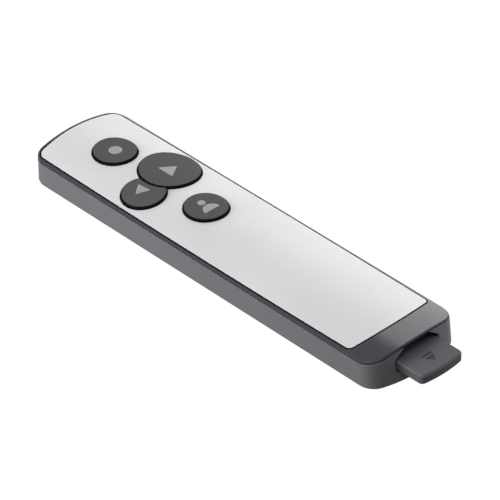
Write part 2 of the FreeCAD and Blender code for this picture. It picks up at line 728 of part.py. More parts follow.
def cut_power_slot(body):
    half = dim("power_knob_length") / 2 + dim("power_gap")
    rise = dim("power_knob_height") / 2 + dim("power_gap")
    sketch = new_sketch(body, "power_slot_profile", "YZ_Plane", level=CAVITY.half - dim("power_flange"))
    draw_box(
        sketch, POWER_Y - half, POWER_Y + dim("power_travel") + half, POWER_LEVEL - rise, POWER_LEVEL + rise,
    )
    pocket(body, sketch, "power_slot", reverse=True)


# The frame, the plate and its adhesive film

def apertures(name, gap):
    """Round holes for the four buttons, wider than the buttons by a gap."""
    holes = [
        upright("%s_%s" % (name, key), x, y, ZERO, radius + gap, TOP + MARGIN)
        for key, (x, y, radius) in BUTTONS.items()
    ]
    return fuse(name, holes)


def crowned_shell(name, outline, outer, inner):
    """The outline's share of a crowned skin between two radii."""
    skin = cut(name + "_skin", crown_cylinder(name + "_above", outer), crown_cylinder(name + "_below", inner))
    return common(name, [prism(name + "_outline", outline, ZERO, TOP + MARGIN), skin])


def bevelled_rim():
    rim = crowned_shell("frame_rim_blank", RIM, R_TOP, R_RIM_FOOT)
    doc.recompute()
    width = dim("rim_bevel").value
    names = [n for n, e in enumerate(rim.Shape.Edges, start=1) if on_crown(e, R_TOP.value)]
    bevelled = doc.addObject("Part::Chamfer", "frame_rim")
    bevelled.Base = rim
    bevelled.Edges = [(n, width, width) for n in names]
    return bevelled


def make_top_frame():
    deck = crowned_shell("frame_deck", SKIRT, R_TOP - dim("rim_bevel") / 2, R_DECK_FOOT)
    skirt = cut(
        "frame_skirt", prism("skirt_outside", SKIRT, SKIRT_FOOT, TOP + MARGIN),
        prism("skirt_inside", SKIRT_INSIDE, ZERO, TOP + MARGIN * 2),
    )
    posts = [
        upright("frame_post_%d" % n, x, y, dim("boss_height"), dim("screw_boss") / 2, TOP)
        for n, (x, y) in enumerate(SCREWS)
    ]
    under = common(
        "frame_under", [fuse("frame_skirt_and_posts", [skirt] + posts), crown_cylinder("frame_under_crown", R_DECK)],
    )
    blank = fuse("frame_blank", [bevelled_rim(), deck, under])
    recess = cut(
        "plate_recess", prism("recess_outline", RECESS, ZERO, TOP + MARGIN),
        crown_cylinder("recess_floor", R_DECK),
    )
    side = BAY_HALF + dim("bay_wall") + dim("skirt_clearance") * 2
    mouth = common("skirt_mouth", [
        block("skirt_mouth_block", -side, side, NEAR_APEX, BAY_MOUTH + dim("skirt_thickness"), ZERO, TOP),
        crown_cylinder("skirt_mouth_crown", R_DECK_FOOT),
    ])
    pilots = [
        upright(
            "pilot_%d" % n, x, y, ZERO, dim("screw_shank") / 2,
            dim("boss_height") + dim("screw_bite") + dim("screw_clearance"),
        )
        for n, (x, y) in enumerate(SCREWS)
    ]
    tools = [recess, mouth, apertures("frame_apertures", dim("button_gap"))] + pilots
    return cut("top_frame", blank, fuse("frame_tools", tools))


def make_face_plate():
    sheet_metal = crowned_shell("plate_blank", PLATE, R_TOP, R_PLATE_FOOT)
    return cut("face_plate", sheet_metal, apertures("plate_apertures", dim("button_gap")))


def make_plate_film():
    film = crowned_shell("film_blank", FILM, R_PLATE_FOOT, R_DECK)
    return cut("plate_film", film, apertures("film_apertures", dim("button_gap") + dim("film_inset")))


# The buttons and their switches

def make_button(key):
    """A cap whose top follows the crown, on a flange that stays under the frame's deck."""
    x, y, radius = BUTTONS[key]
    body = new_body(key + "_button")
    put(body, x, y)
    flange = new_sketch(body, key + "_flange_plan", level=FLANGE_FOOT)
    draw_circle(flange, ZERO, ZERO, radius + dim("flange_width"))
    pad(body, flange, dim("button_depth"), key + "_flange")
    if key in ("next", "back"):
        trim_flange(body, key, x)
    crown_trim(body, R_DECK_FOOT - dim("flange_clearance"), key + "_flange_crown", -x)
    cap = new_sketch(body, key + "_cap_plan", level=FLANGE_FOOT)
    draw_circle(cap, ZERO, ZERO, radius)
    pad(body, cap, dim("button_depth") + dim("button_rise"), key + "_cap")
    stem = new_sketch(body, key + "_stem_plan", level=PLUNGER_TOP)
    draw_circle(stem, ZERO, ZERO, dim("stem_diameter") / 2)
    pad(body, stem, dim("stem_length"), key + "_stem")
    crown_trim(body, R_BUTTON, key + "_cap_crown", -x)
    if key == "back":
        beside = new_sketch(body, "back_hollow_plan", level=ZERO)
        next_x, next_y, next_radius = BUTTONS["next"]
        draw_circle(beside, next_x - x, next_y - y, next_radius + dim("button_gap"))
        pocket(body, beside, "back_hollow", reverse=True)
    bevel_edges(body, lambda e: on_crown(e, R_BUTTON.value, -x.value), dim("button_edge"), key + "_edge")
    return body


def trim_flange(body, key, x):
    """Keeps a flange off the frame's skirt, and the next button's flange off the back button's."""
    sign = 1 if key == "next" else -1
    side = new_sketch(body, key + "_side_plan", level=ZERO)
    limit = BUTTON_LIMIT * sign - x
    draw_box(side, limit, limit + MARGIN * sign, -MARGIN, MARGIN)
    pocket(body, side, key + "_side", reverse=True)
    if key == "next":
        back_x, back_y, back_radius = BUTTONS["back"]
        beside = new_sketch(body, "next_hollow_plan", level=ZERO)
        reach = back_radius + dim("flange_width") + dim("button_gap")
        draw_circle(beside, back_x - x, back_y - BUTTONS["next"][1], reach)
        pocket(body, beside, "next_hollow", reverse=True)


def make_plunger(key):
    x, y, radius = BUTTONS[key]
    height = dim("switch_height") - dim("switch_floor")
    return upright(key + "_plunger", x, y, PLUNGER_TOP - height, dim("plunger_diameter") / 2, height)


def make_button_switches():
    """The four switch housings, each with the bore that its plunger sinks into."""
    half = dim("switch_side") / 2
    switches = []
    for key, (x, y, radius) in BUTTONS.items():
        case = block(key + "_switch_case", x - half, x + half, y - half, y + half, BOARD_TOP, SWITCH_TOP)
        bore = upright(
            key + "_switch_bore", x, y, BOARD_TOP + dim("switch_floor"),
            dim("plunger_diameter") / 2 + dim("plunger_fit"), dim("switch_height"),
        )
        switches.append(cut(key + "_switch", case, bore))
    return gather("button_switches", switches)


# The circuit board and what is on it

def make_main_board():
    body = new_body("main_board")
    sketch = new_sketch(body, "board_plan", level=BOARD_FOOT)
    draw_box(sketch, -BOARD_HALF, BOARD_HALF, BOARD_NEAR, BOARD_FAR)
    pad(body, sketch, dim("board_thickness"), "board")
    upright_edge = dim("board_thickness").value / 2
    round_edges(body, lambda e: e.BoundBox.ZLength > upright_edge, dim("board_corner"), "board_corners")
    return body


def on_board(name, x, y, length, width, height):
    """A component of this footprint, centred at a point on the board."""
    return block(name, x - length / 2, x + length / 2, y - width / 2, y + width / 2, BOARD_TOP, BOARD_TOP + height)


def make_radio_chip():
    return on_board("radio_chip", CHIP_X, CHIP_Y, dim("chip_side"), dim("chip_side"), dim("chip_height"))


def make_crystal():
    return on_board(
        "crystal", CHIP_X, CHIP_Y + dim("crystal_step"),
        dim("crystal_length"), dim("crystal_width"), dim("crystal_height"),
    )


def make_antenna():
    return on_board(
        "antenna", dim("antenna_side_inset") - BOARD_HALF, BOARD_FAR - dim("antenna_end_inset"),
        dim("antenna_length"), dim("antenna_width"), dim("antenna_height"),
    )


# The power switch

def make_power_switch():
    half = BOARD_HALF - dim("power_gap")
    middle = POWER_Y + dim("power_travel") / 2
    reach = dim("power_switch_length") / 2
    case = block(
        "power_switch_case", half - dim("power_switch_width"), half, middle - reach, middle + reach,
        BOARD_TOP, BOARD_TOP + dim("power_switch_height"),
    )
    side = dim("power_arm") / 2 + dim("power_gap")
    rise = (dim("power_switch_height") - dim("power_arm_height")) / 2 - dim("power_gap")
    groove = block(
        "power_switch_groove", half - dim("power_arm"), half + dim("power_gap"),
        POWER_Y - side, POWER_Y + dim("power_travel") + side,
        BOARD_TOP + rise, BOARD_TOP + dim("power_switch_height") - rise,
    )
    return cut("power_switch", case, groove)


def make_power_knob():
    y, z = POWER_Y, POWER_LEVEL
    inner = CAVITY.half - dim("power_gap") - dim("power_flange")
    long, high = dim("power_knob_length") / 2, dim("power_knob_height") / 2
    flange = dim("power_flange")
    knob = block("knob_grip", inner, HALF_WIDTH + dim("power_knob_out"), y - long, y + long, z - high, z + high)
    plate = block(
        "knob_flange", inner, inner + flange,
        y - long - flange, y + long + flange, z - high - flange, z + high + flange,
    )
    arm_foot = BOARD_TOP + (dim("power_switch_height") - dim("power_arm_height")) / 2
    arm = block(
        "knob_arm", BOARD_HALF - dim("power_arm"), inner + flange / 2,
        y - dim("power_arm") / 2, y + dim("power_arm") / 2, arm_foot, arm_foot + dim("power_arm_height"),
    )
    return fuse("power_knob", [knob, plate, arm])


# The laser

def make_laser_module():
    barrel = lengthwise(
        "laser_barrel", ZERO, LASER_REAR, LASER_LEVEL, dim("laser_diameter") / 2, dim("laser_length"),
    )
    depth = dim("lens_sink") + dim("lens_thickness")
    bore = lengthwise(
        "laser_bore", ZERO, LASER_FRONT - depth, LASER_LEVEL, dim("lens_diameter") / 2, depth * 2,
    )
    return cut("laser_module", barrel, bore)


def make_laser_lens():
    return lengthwise(
        "laser_lens", ZERO, LASER_FRONT - dim("lens_sink") - dim("lens_thickness"), LASER_LEVEL,
        dim("lens_diameter") / 2, dim("lens_thickness"),
    )


# The coin cell, its contacts and its cover

def make_coin_cell():
    radius, thickness = dim("cell_diameter") / 2, dim("cell_thickness")
    can = upright("cell_can", ZERO, CELL_Y, CELL_FOOT, radius, thickness - dim("cell_step"))
    face = upright("cell_face", ZERO, CELL_Y, CELL_FOOT, radius - dim("cell_rim"), thickness)
    return fuse("coin_cell", [can, face])


def make_battery_contacts():
    """Two strips soldered to the board: one lies over the cell, one reaches down to its side."""
    thick, half = dim("contact_thickness"), dim("contact_width") / 2
    foot = BOARD_NEAR + dim("contact_foot")
    foot_end = foot + dim("contact_foot")
    level = CELL_TOP + dim("contact_gap")
    strips = []
    for name, x in (("minus", -dim("contact_x")), ("plus", dim("contact_x"))):
        pieces = [
            block(name + "_foot", x - half, x + half, foot - thick, foot_end, BOARD_TOP, BOARD_TOP + thick),
            block(name + "_riser", x - half, x + half, foot - thick, foot, BOARD_TOP, level + thick),
        ]
        if name == "minus":
            pieces.append(block("minus_arm", x - half, x + half, CELL_Y, foot, level, level + thick))
        else:
            edge = leg(dim("cell_diameter") / 2, dim("contact_x") - half) + CELL_Y + dim("contact_gap")
            pieces.append(block("plus_arm", x - half, x + half, edge, foot, level, level + thick))
            drop = CELL_TOP - dim("cell_thickness") / 2
            pieces.append(block("plus_leaf", x - half, x + half, edge, edge + thick, drop, level + thick))
        strips.append(fuse("battery_contact_" + name, pieces))
    return gather("battery_contacts", strips)


def make_battery_cover():
    """Round cover with a coin slot, and two tabs that turn in over the casing's ledge."""
    y = CELL_Y
    hub_radius = COVER_RECESS - dim("cover_ledge") - dim("cover_gap")
    disc = upright("cover_disc", ZERO, y, ZERO, dim("cover_diameter") / 2, dim("cover_thickness"))
    hub = upright("cover_hub", ZERO, y, ZERO, hub_radius, COVER_TOP)
    half = dim("cover_tab_width") / 2
    level = COVER_TOP - dim("cover_tab_height")
    tabs = common("cover_tabs", [
        block("cover_tab_bar", -TAB_REACH, TAB_REACH, y - half, y + half, level, COVER_TOP),
        upright("cover_tab_round", ZERO, y, level, TAB_REACH, dim("cover_tab_height")),
    ])
    long, wide = dim("coin_slot_length") / 2, dim("coin_slot_width") / 2
    slot = block("coin_slot", -long, long, y - wide, y + wide, -MARGIN, dim("coin_slot_depth"))
    return cut("battery_cover", fuse("cover_blank", [disc, hub, tabs]), slot)


# The receiver and its bay

def make_receiver_cap():
    body = new_body("receiver_cap")
    plan = Outline(
        dim("receiver_width") / 2, CAP_BACK, dim("receiver_back_radius"), dim("receiver_back_corner"),
        RECEIVER_FRONT, dim("near_foot_radius"), dim("receiver_corner"),
    )
    sketch = new_sketch(body, "cap_plan", level=dim("receiver_level"))
    draw_outline(sketch, plan)
    pad(body, sketch, dim("receiver_thickness"), "cap")
    lower, upper = flat_at(dim("receiver_level").value), flat_at(RECEIVER_TOP.value)
    bevel_edges(body, lambda e: lower(e) or upper(e), dim("receiver_bevel"), "cap_bevel")
    half, fit = dim("tongue_width") / 2, dim("tongue_fit")
    sketch = new_sketch(body, "cap_pocket_profile", "XZ_Plane", level=-CAP_BACK)
    draw_box(sketch, -half - fit, half + fit, TONGUE_FOOT - fit, TONGUE_FOOT + dim("tongue_thickness") + fit)
    pocket(body, sketch, "cap_pocket", length=dim("tongue_root") + fit, reverse=True)
    return body


def make_receiver_board():
    body = new_body("receiver_board")
    half = dim("tongue_width") / 2
    sketch = new_sketch(body, "tongue_plan", level=TONGUE_FOOT)
    draw_box(sketch, -half, half, CAP_BACK - dim("tongue_root"), TONGUE_TIP)
    pad(body, sketch, dim("tongue_thickness"), "tongue")
    tip = TONGUE_TIP.value

    def at_tip(edge):
        return abs(edge.BoundBox.YMin - tip) < 1e-4 and edge.BoundBox.XLength > half.value

    bevel_edges(body, at_tip, dim("tongue_bevel"), "tongue_tip")
    return body


def make_receiver_contacts():
    half = dim("pad_width") / 2
    tip = TONGUE_TIP - dim("pad_setback")
    level = TONGUE_FOOT + dim("tongue_thickness")
    pads = []
    for n, place in enumerate((-1.5, -0.5, 0.5, 1.5)):
        x = dim("pad_pitch") * place
        length = dim("pad_length") if n in (0, 3) else dim("pad_length") - dim("pad_step")
        pads.append(block("pad_%d" % n, x - half, x + half, tip - length, tip, level, level + dim("pad_thickness")))
    return gather("receiver_contacts", pads)


def make_receiver_bay():
    """Sleeve on the casing floor that guides the receiver, closed at its inner end."""
    wall, gap = dim("bay_wall"), dim("bay_clearance")
    outside = block(
        "bay_outside", -BAY_HALF - wall, BAY_HALF + wall, BAY_MOUTH, BAY_END,
        dim("floor_thickness"), RECEIVER_TOP + gap + wall,
    )
    inside = block(
        "bay_inside", -BAY_HALF, BAY_HALF, BAY_MOUTH - MARGIN, BAY_STOP,
        dim("receiver_level") - gap, RECEIVER_TOP + gap,
    )
    return cut("receiver_bay", outside, inside)


# Fasteners

def make_case_screws():
    """Four screws that go up through the casing's bosses into the frame's posts."""
    sink = dim("screw_sink")
    reach, wide = dim("drive_length") / 2, dim("drive_width") / 2
    screws = []
    for n, (x, y) in enumerate(SCREWS):
        head = upright("screw_head_%d" % n, x, y, sink, dim("screw_head") / 2, dim("screw_head_height"))
        shank = upright(
            "screw_shank_%d" % n, x, y, sink, dim("screw_shank") / 2,
            dim("boss_height") + dim("screw_bite") - sink,
        )
        drive = [
            block("drive_%d_%d" % (n, k), x - a, x + a, y - b, y + b, ZERO, sink + dim("drive_depth"))
            for k, (a, b) in enumerate(((reach, wide), (wide, reach)))
        ]
        screws.append(cut("screw_%d" % n, fuse("screw_blank_%d" % n, [head, shank]), fuse("drive_%d" % n, drive)))
    return gather("case_screws", screws)


def make_all():
    pieces = [make_lower_case(), make_top_frame(), make_face_plate(), make_plate_film()]
    for key in BUTTONS:
        pieces += [make_button(key), make_plunger(key)]
    pieces += [
        make_button_switches(), make_main_board(), make_radio_chip(), make_crystal(), make_antenna(),
        make_power_switch(), make_power_knob(), make_laser_module(), make_laser_lens(),
        make_coin_cell(), make_battery_contacts(), make_battery_cover(),
        make_receiver_cap(), make_receiver_board(), make_receiver_contacts(), make_receiver_bay(),
        make_case_screws(),
    ]
    return pieces


def check(pieces):
    """Stops when an object has failed or a piece has no sound solid."""
    for thing in doc.Objects:
        if "Invalid" in thing.State or "Error" in thing.State:
            raise RuntimeError("%s has failed" % thing.Name)
    for piece in pieces:
        shape = piece.Shape
        if shape.isNull() or not shape.isValid() or not shape.Solids:
            raise RuntimeError("%s has no sound solid" % piece.Label)


PIECES = make_all()
doc.recompute()
check(PIECES)
os.makedirs("parts", exist_ok=True)
for piece in PIECES:
    piece.Shape.exportStep("parts/%s.step" % piece.Label)
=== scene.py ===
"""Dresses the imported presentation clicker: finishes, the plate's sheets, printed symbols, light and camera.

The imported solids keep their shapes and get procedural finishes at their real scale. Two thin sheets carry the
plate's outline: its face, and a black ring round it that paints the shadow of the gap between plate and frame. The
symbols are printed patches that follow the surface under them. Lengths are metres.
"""

import math

import bpy
import numpy as np
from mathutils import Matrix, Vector
from mathutils.geometry import delaunay_2d_cdt


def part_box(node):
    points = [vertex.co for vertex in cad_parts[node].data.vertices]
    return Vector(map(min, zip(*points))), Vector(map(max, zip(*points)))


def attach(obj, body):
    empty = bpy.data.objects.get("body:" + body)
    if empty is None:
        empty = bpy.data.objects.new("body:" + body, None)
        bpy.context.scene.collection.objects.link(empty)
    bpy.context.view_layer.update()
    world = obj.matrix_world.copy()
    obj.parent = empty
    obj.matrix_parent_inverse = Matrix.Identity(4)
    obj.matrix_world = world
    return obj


bl_info = {
    "name": "Presentation Clicker",
    "version": (1, 0, 0),
    "blender": (4, 5, 0),
    "location": "View3D > Sidebar > Clicker",
    "description": "Finishes, symbols, light and camera for a presentation clicker",
    "category": "Object",
}

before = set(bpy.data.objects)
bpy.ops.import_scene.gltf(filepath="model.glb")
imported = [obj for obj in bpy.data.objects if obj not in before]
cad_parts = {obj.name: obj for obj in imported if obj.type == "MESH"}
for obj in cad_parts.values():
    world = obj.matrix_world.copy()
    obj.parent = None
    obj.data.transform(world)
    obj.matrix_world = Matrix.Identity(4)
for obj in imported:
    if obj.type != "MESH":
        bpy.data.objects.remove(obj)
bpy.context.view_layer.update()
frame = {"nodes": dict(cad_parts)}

MM = 0.001
CROWN_AXIS = -55 * MM
BUTTON_RADIUS = 65.8 * MM
PLATE_RADIUS = 65.0 * MM
PLATE_HALF = 14.98 * MM
PLATE_SWELL = 0.028
PLATE_FAR = 66.4 * MM
PLATE_FAR_RADIUS = 85.0 * MM
PLATE_FAR_CORNER = 2.6 * MM
PLATE_NEAR = -57.12 * MM
PLATE_NEAR_RADIUS = 66.0 * MM
PLATE_NEAR_CORNER = 1.5 * MM

# The plate's face is one thin sheet, and a black sheet just below it, reaching past its outline, paints the gap's
# shadow
SKIN_TOP, SKIN_DEPTH = 0.05 * MM, 0.04 * MM
GAP_SHADOW_TOP, GAP_SHADOW_DEPTH = 0.03 * MM, 0.02 * MM
GAP_SHADOW_LAP = 0.2 * MM

# Apertures: x, y from the laser button's middle, radius
APERTURES = (
    (0.0, 0.0, 6.60 * MM),
    (4.90 * MM, -16.8 * MM, 9.10 * MM),
    (-7.35 * MM, -19.6 * MM, 6.60 * MM),
    (0.0, -36.5 * MM, 6.60 * MM),
)

FLOOR_DROP = 0.05 * MM
FLOOR_GLOW = 1.14
FLOOR_CONTACT = 0.5 * MM
CAMERA_TARGET = (4.577 * MM, 0.935 * MM, 0.0)

# Softboxes: name, place, target, width, height, power in watts, and whether gloss mirrors it
SOFTBOXES = (
    ("overhead", (-0.20, -0.06, 0.46), (0.0, -0.03, 0.0), 0.32, 0.32, 1.15, True),
    ("far_right", (0.62, 0.32, 0.36), (0.0, 0.0, 0.0), 0.80, 0.66, 1.8, True),
    ("far_left", (-0.41, 0.28, 0.13), (0.0, 0.0, 0.0), 0.35, 0.35, 3.9, False),
    ("near_right", (0.48, -0.07, 0.05), (0.0, 0.0, 0.0), 0.35, 0.08, 4.2, False),
    ("below", (0.1, -0.1, -0.7), (0.0, 0.0, 0.0), 0.9, 0.9, 7.0, False),
)


# Settings

def size(name, description, default, low=0.0, high=1.0):
    """A length that a user may change."""
    return bpy.props.FloatProperty(
        name=name, description=description, default=default, min=low, max=high, precision=5,
        subtype="DISTANCE", unit="LENGTH")


def share(name, description, default, high=1.0):
    """A plain factor that a user may change."""
    return bpy.props.FloatProperty(
        name=name, description=description, default=default, min=0.0, max=high, subtype="FACTOR")


def colour(name, description, red, green, blue):
    """A colour that a user may change."""
    return bpy.props.FloatVectorProperty(
        name=name, description=description, default=(red, green, blue), min=0.0, max=1.0, size=3,
        subtype="COLOR")


class CLICKER_PG_colours(bpy.types.PropertyGroup):
    """Colours of the visible finishes."""

    tray: colour("Tray", "Satin grey of the casing's walls and underside", 0.130, 0.132, 0.139)
    frame: colour("Frame", "Gloss of the frame round the plate", 0.027, 0.027, 0.037)
    plate: colour("Plate", "Anodised aluminium of the face", 0.62, 0.62, 0.628)
    buttons: colour("Buttons", "Soft-touch coat of the buttons' tops", 0.073, 0.073, 0.076)
    # Painted shade: the buttons' sides and chamfers are coloured near black
    button_side_shade: colour("Button sides", "Bare sides of the buttons", 0.004, 0.004, 0.0045)
    ink: colour("Ink", "Symbols printed on the buttons", 0.25, 0.25, 0.255)
    receiver: colour("Receiver", "Satin cap of the receiver", 0.060, 0.063, 0.073)
    # Painted light: the receiver's bevel and sides are coloured lighter than its top
    receiver_side_light: colour("Receiver sides", "Edges and sides of the receiver", 0.090, 0.090, 0.100)
    mark: colour("Mark", "Pull-out mark on the receiver", 0.016, 0.016, 0.019)
    board: colour("Board", "Solder mask of the circuit board", 0.02, 0.13, 0.06)
    brass: colour("Brass", "Housing of the laser", 0.60, 0.43, 0.16)
    steel: colour("Steel", "Coin cell and springs", 0.66, 0.66, 0.65)
    floor: colour("Floor", "Floor as it is seen", 1.0, 1.0, 1.0)


class CLICKER_PG_sizes(bpy.types.PropertyGroup):
    """Sizes of the symbols and of the fine detail in the finishes."""

    dot: size("Dot", "Diameter of the laser button's dot", 3.75 * MM)
    ink_lift: size("Ink lift", "How far the ink stands above the button", 0.025 * MM)
    ink_depth: size("Ink depth", "Thickness of the ink layer", 0.06 * MM)
    edge: size("Edge", "Radius that softens moulded edges", 0.15 * MM)
    button_edge: size("Button edge", "Radius that softens the buttons' edges", 0.3 * MM)
    grain: size("Grain", "Width of one grain of the tray's texture", 0.16 * MM)
    grain_depth: size("Grain depth", "Height of the tray's texture", 0.006 * MM)
    # Painted shadow: the black band round the plate stands for the shade in the gap between plate and frame
    seam: size("Seam", "Width of the black adhesive that shows round the plate", 0.42 * MM)
    blast: size("Blast", "Width of one pit of the plate's blasted texture", 0.09 * MM)


class CLICKER_PG_stage(bpy.types.PropertyGroup):
    """Camera, floor and lights."""

    azimuth: bpy.props.FloatProperty(
        name="Azimuth", description="Camera's turn about the vertical", default=math.radians(-44.075),
        subtype="ANGLE", unit="ROTATION")
    elevation: bpy.props.FloatProperty(
        name="Elevation", description="Camera's height angle", default=math.radians(36.699),
        subtype="ANGLE", unit="ROTATION")
    distance: size("Distance", "From the camera to the point it looks at", 0.9491, high=10.0)
    lens: bpy.props.FloatProperty(
        name="Lens", description="Focal length for a 36 mm sensor, in millimetres", default=253.26, min=1.0)
    floor_radius: size("Floor radius", "Radius of the round floor", 4.0, high=20.0)
    shadow: share("Shadow", "How much of the contact shadow shows on the white floor", 0.12)
    bounce: share("Bounce", "Tone of the floor in the object's reflections", 0.16)
    fill: share("Fill", "Strength of the even light from all sides", 0.33, high=10.0)


class CLICKER_PG_settings(bpy.types.PropertyGroup):
    """All settings of the clicker's looks."""

    colours: bpy.props.PointerProperty(type=CLICKER_PG_colours)
    sizes: bpy.props.PointerProperty(type=CLICKER_PG_sizes)
    stage: bpy.props.PointerProperty(type=CLICKER_PG_stage)


def settings():
    """The scene's clicker settings."""
    return bpy.context.scene.clicker


# Shader nodes

def add(tree, kind, sockets=None, **settings):
    """Adds a shader node. In sockets, a value is set on the named input and another node's socket is linked."""
    made = tree.nodes.new(kind)
    for name, value in settings.items():
        setattr(made, name, value)
    for name, value in (sockets or {}).items():
        if isinstance(value, bpy.types.NodeSocket):
            tree.links.new(value, made.inputs[name])
        else:
            made.inputs[name].default_value = value
    return made


def maths(tree, operation, first, second=0.0, third=0.0):
    """The result of one sum on numbers or sockets."""
    return add(tree, "ShaderNodeMath", {0: first, 1: second, 2: third}, operation=operation).outputs[0]


def around(tree, value, middle, spread):
    """Maps a noise of 0.3 to 0.7 to middle minus spread up to middle plus spread."""
    slope = maths(tree, "MULTIPLY", maths(tree, "SUBTRACT", value, 0.5), 5.0)
    return maths(tree, "MULTIPLY_ADD", slope, spread, middle)


def noise(tree, place, scale, detail=2.0, roughness=0.5):
    """Noise of 0 to 1 at a scale in waves per metre."""
    sockets = {"Vector": place, "Scale": scale, "Detail": detail, "Roughness": roughness}
    return add(tree, "ShaderNodeTexNoise", sockets).outputs["Fac"]


def toned(tree, base, value):
    """A colour with its brightness multiplied."""
    return add(tree, "ShaderNodeHueSaturation", {"Color": base, "Value": value}).outputs["Color"]


def blended(tree, factor, first, second):
    """A mix of two colours."""
    made = add(tree, "ShaderNodeMix", {0: factor, 6: first, 7: second}, data_type="RGBA")
    return made.outputs[2]


def relief(tree, height, depth, radius):
    """A normal with softened edges and a relief of that depth on top."""
    soft = add(tree, "ShaderNodeBevel", {"Radius": radius}, samples=6).outputs["Normal"]
    sockets = {"Strength": 1.0, "Distance": depth, "Height": height, "Normal": soft}
    return add(tree, "ShaderNodeBump", sockets).outputs["Normal"]


def new_group(name, inputs, outputs):
    """A node group. inputs holds (label, default) with a colour's default as four numbers."""
    tree = bpy.data.node_groups.new(name, "ShaderNodeTree")
    for label, default in inputs:
        kind = "NodeSocketFloat" if isinstance(default, float) else "NodeSocketColor"
        tree.interface.new_socket(label, in_out="INPUT", socket_type=kind).default_value = default
    for label in outputs:
        kind = {"Colour": "NodeSocketColor", "Normal": "NodeSocketVector"}.get(label, "NodeSocketFloat")
        tree.interface.new_socket(label, in_out="OUTPUT", socket_type=kind)
    given = tree.nodes.new("NodeGroupInput").outputs
    result = tree.nodes.new("NodeGroupOutput").inputs
    place = tree.nodes.new("ShaderNodeTexCoord").outputs["Object"]
    return tree, given, result, place


GREY = (0.5, 0.5, 0.5, 1.0)


def moulded_grain():
    """Fine eroded grain over a slow drift in tone and sheen, as on satin moulded plastic."""
    tree, given, result, place = new_group(
        "moulded grain",
        [("Colour", GREY), ("Roughness", 0.5), ("Grain", 0.0002), ("Depth", 0.000005), ("Edge", 0.0001),
         ("Drift", 0.04)],
        ["Colour", "Roughness", "Normal"])
    fine = noise(tree, place, maths(tree, "DIVIDE", 1.0, given["Grain"]), 3.0, 0.6)
    slow = noise(tree, place, 38.0, 2.0)
    tone = around(tree, fine, around(tree, slow, 1.0, given["Drift"]), 0.03)
    sheen = around(tree, fine, around(tree, slow, given["Roughness"], 0.03), 0.04)
    tree.links.new(toned(tree, given["Colour"], tone), result["Colour"])
    tree.links.new(sheen, result["Roughness"])
    tree.links.new(relief(tree, fine, given["Depth"], given["Edge"]), result["Normal"])
    return tree


def painted_facing_shade():
    """Painted light and shade by facing: faces that look up keep the upper colour, and edges and sides turn to a
    painted side colour.
    """
    tree, given, result, place = new_group(
        "painted facing shade", [("Colour", GREY), ("Painted", (0.01, 0.01, 0.01, 1.0))], ["Colour"])
    facing = tree.nodes.new("ShaderNodeTexCoord").outputs["Normal"]
    upward = add(tree, "ShaderNodeSeparateXYZ", {0: facing}).outputs["Z"]
    # The upper colour's share rises with how much a face looks up; the rest is the painted side colour, with a
    # faint random jitter
    sockets = {"Value": upward, "From Min": 0.84, "From Max": 0.96}
    cover = add(tree, "ShaderNodeMapRange", sockets, interpolation_type="SMOOTHSTEP").outputs[0]
    shade_share = around(tree, noise(tree, place, 900.0, 3.0), cover, maths(tree, "MULTIPLY", cover, 0.02))
    tree.links.new(blended(tree, shade_share, given["Painted"], given["Colour"]), result["Colour"])
    return tree


def polished_skin():
    """A gloss skin with the faint waviness of moulding and thin smears that dull it in places."""
    tree, given, result, place = new_group(
        "polished skin",
        [("Colour", GREY), ("Roughness", 0.1), ("Wave", 0.002), ("Depth", 0.000002), ("Edge", 0.0001)],
        ["Colour", "Roughness", "Normal"])
    wave = noise(tree, place, maths(tree, "DIVIDE", 1.0, given["Wave"]), 1.0)
    smear = noise(tree, place, 160.0, 4.0, 0.65)
    veil = maths(tree, "SMOOTH_MAX", maths(tree, "SUBTRACT", smear, 0.5), 0.0, 0.05)
    sheen = maths(tree, "MULTIPLY_ADD", veil, 0.6, given["Roughness"])
    tree.links.new(toned(tree, given["Colour"], around(tree, smear, 1.0, 0.05)), result["Colour"])
    tree.links.new(sheen, result["Roughness"])
    tree.links.new(relief(tree, wave, given["Depth"], given["Edge"]), result["Normal"])
    return tree


def blasted_metal():
    """Bead-blasted and anodised metal: fine pits, faint lengthwise roll marks and a cloudy drift in tone."""
    tree, given, result, place = new_group(
        "blasted metal",
        [("Colour", GREY), ("Roughness", 0.35), ("Pit", 0.0001), ("Depth", 0.000003), ("Edge", 0.0001),
         ("Cloud", 0.03)],
        ["Colour", "Roughness", "Normal"])
    pits = noise(tree, place, maths(tree, "DIVIDE", 1.0, given["Pit"]), 2.0, 0.6)
    stretched = add(tree, "ShaderNodeMapping", {"Vector": place, "Scale": (1.0, 0.03, 1.0)}).outputs[0]
    rolled = noise(tree, stretched, 2600.0, 3.0, 0.6)
    cloud = noise(tree, place, 26.0, 2.0, 0.55)
    height = maths(tree, "MULTIPLY_ADD", rolled, 0.5, pits)
    tone = around(tree, rolled, around(tree, cloud, 1.0, given["Cloud"]), 0.012)
    sheen = around(tree, pits, around(tree, cloud, given["Roughness"], 0.03), 0.03)
    tree.links.new(toned(tree, given["Colour"], tone), result["Colour"])
    tree.links.new(sheen, result["Roughness"])
    tree.links.new(relief(tree, height, given["Depth"], given["Edge"]), result["Normal"])
    return tree


def turned_metal():
    """Drawn or turned metal: fine lines across Y, with a slow stain in their tone."""
    tree, given, result, place = new_group(
        "turned metal",
        [("Colour", GREY), ("Roughness", 0.25), ("Width", 0.0001), ("Depth", 0.000003), ("Edge", 0.00005)],
        ["Colour", "Roughness", "Normal"])
    squeezed = add(tree, "ShaderNodeMapping", {"Vector": place, "Scale": (0.08, 1.0, 0.08)}).outputs[0]
    lines = noise(tree, squeezed, maths(tree, "DIVIDE", 1.0, given["Width"]), 3.0, 0.6)
    stain = noise(tree, place, 300.0, 3.0)
    tree.links.new(toned(tree, given["Colour"], around(tree, stain, 1.0, 0.06)), result["Colour"])
    tree.links.new(around(tree, lines, given["Roughness"], 0.06), result["Roughness"])
    tree.links.new(relief(tree, lines, given["Depth"], given["Edge"]), result["Normal"])
    return tree


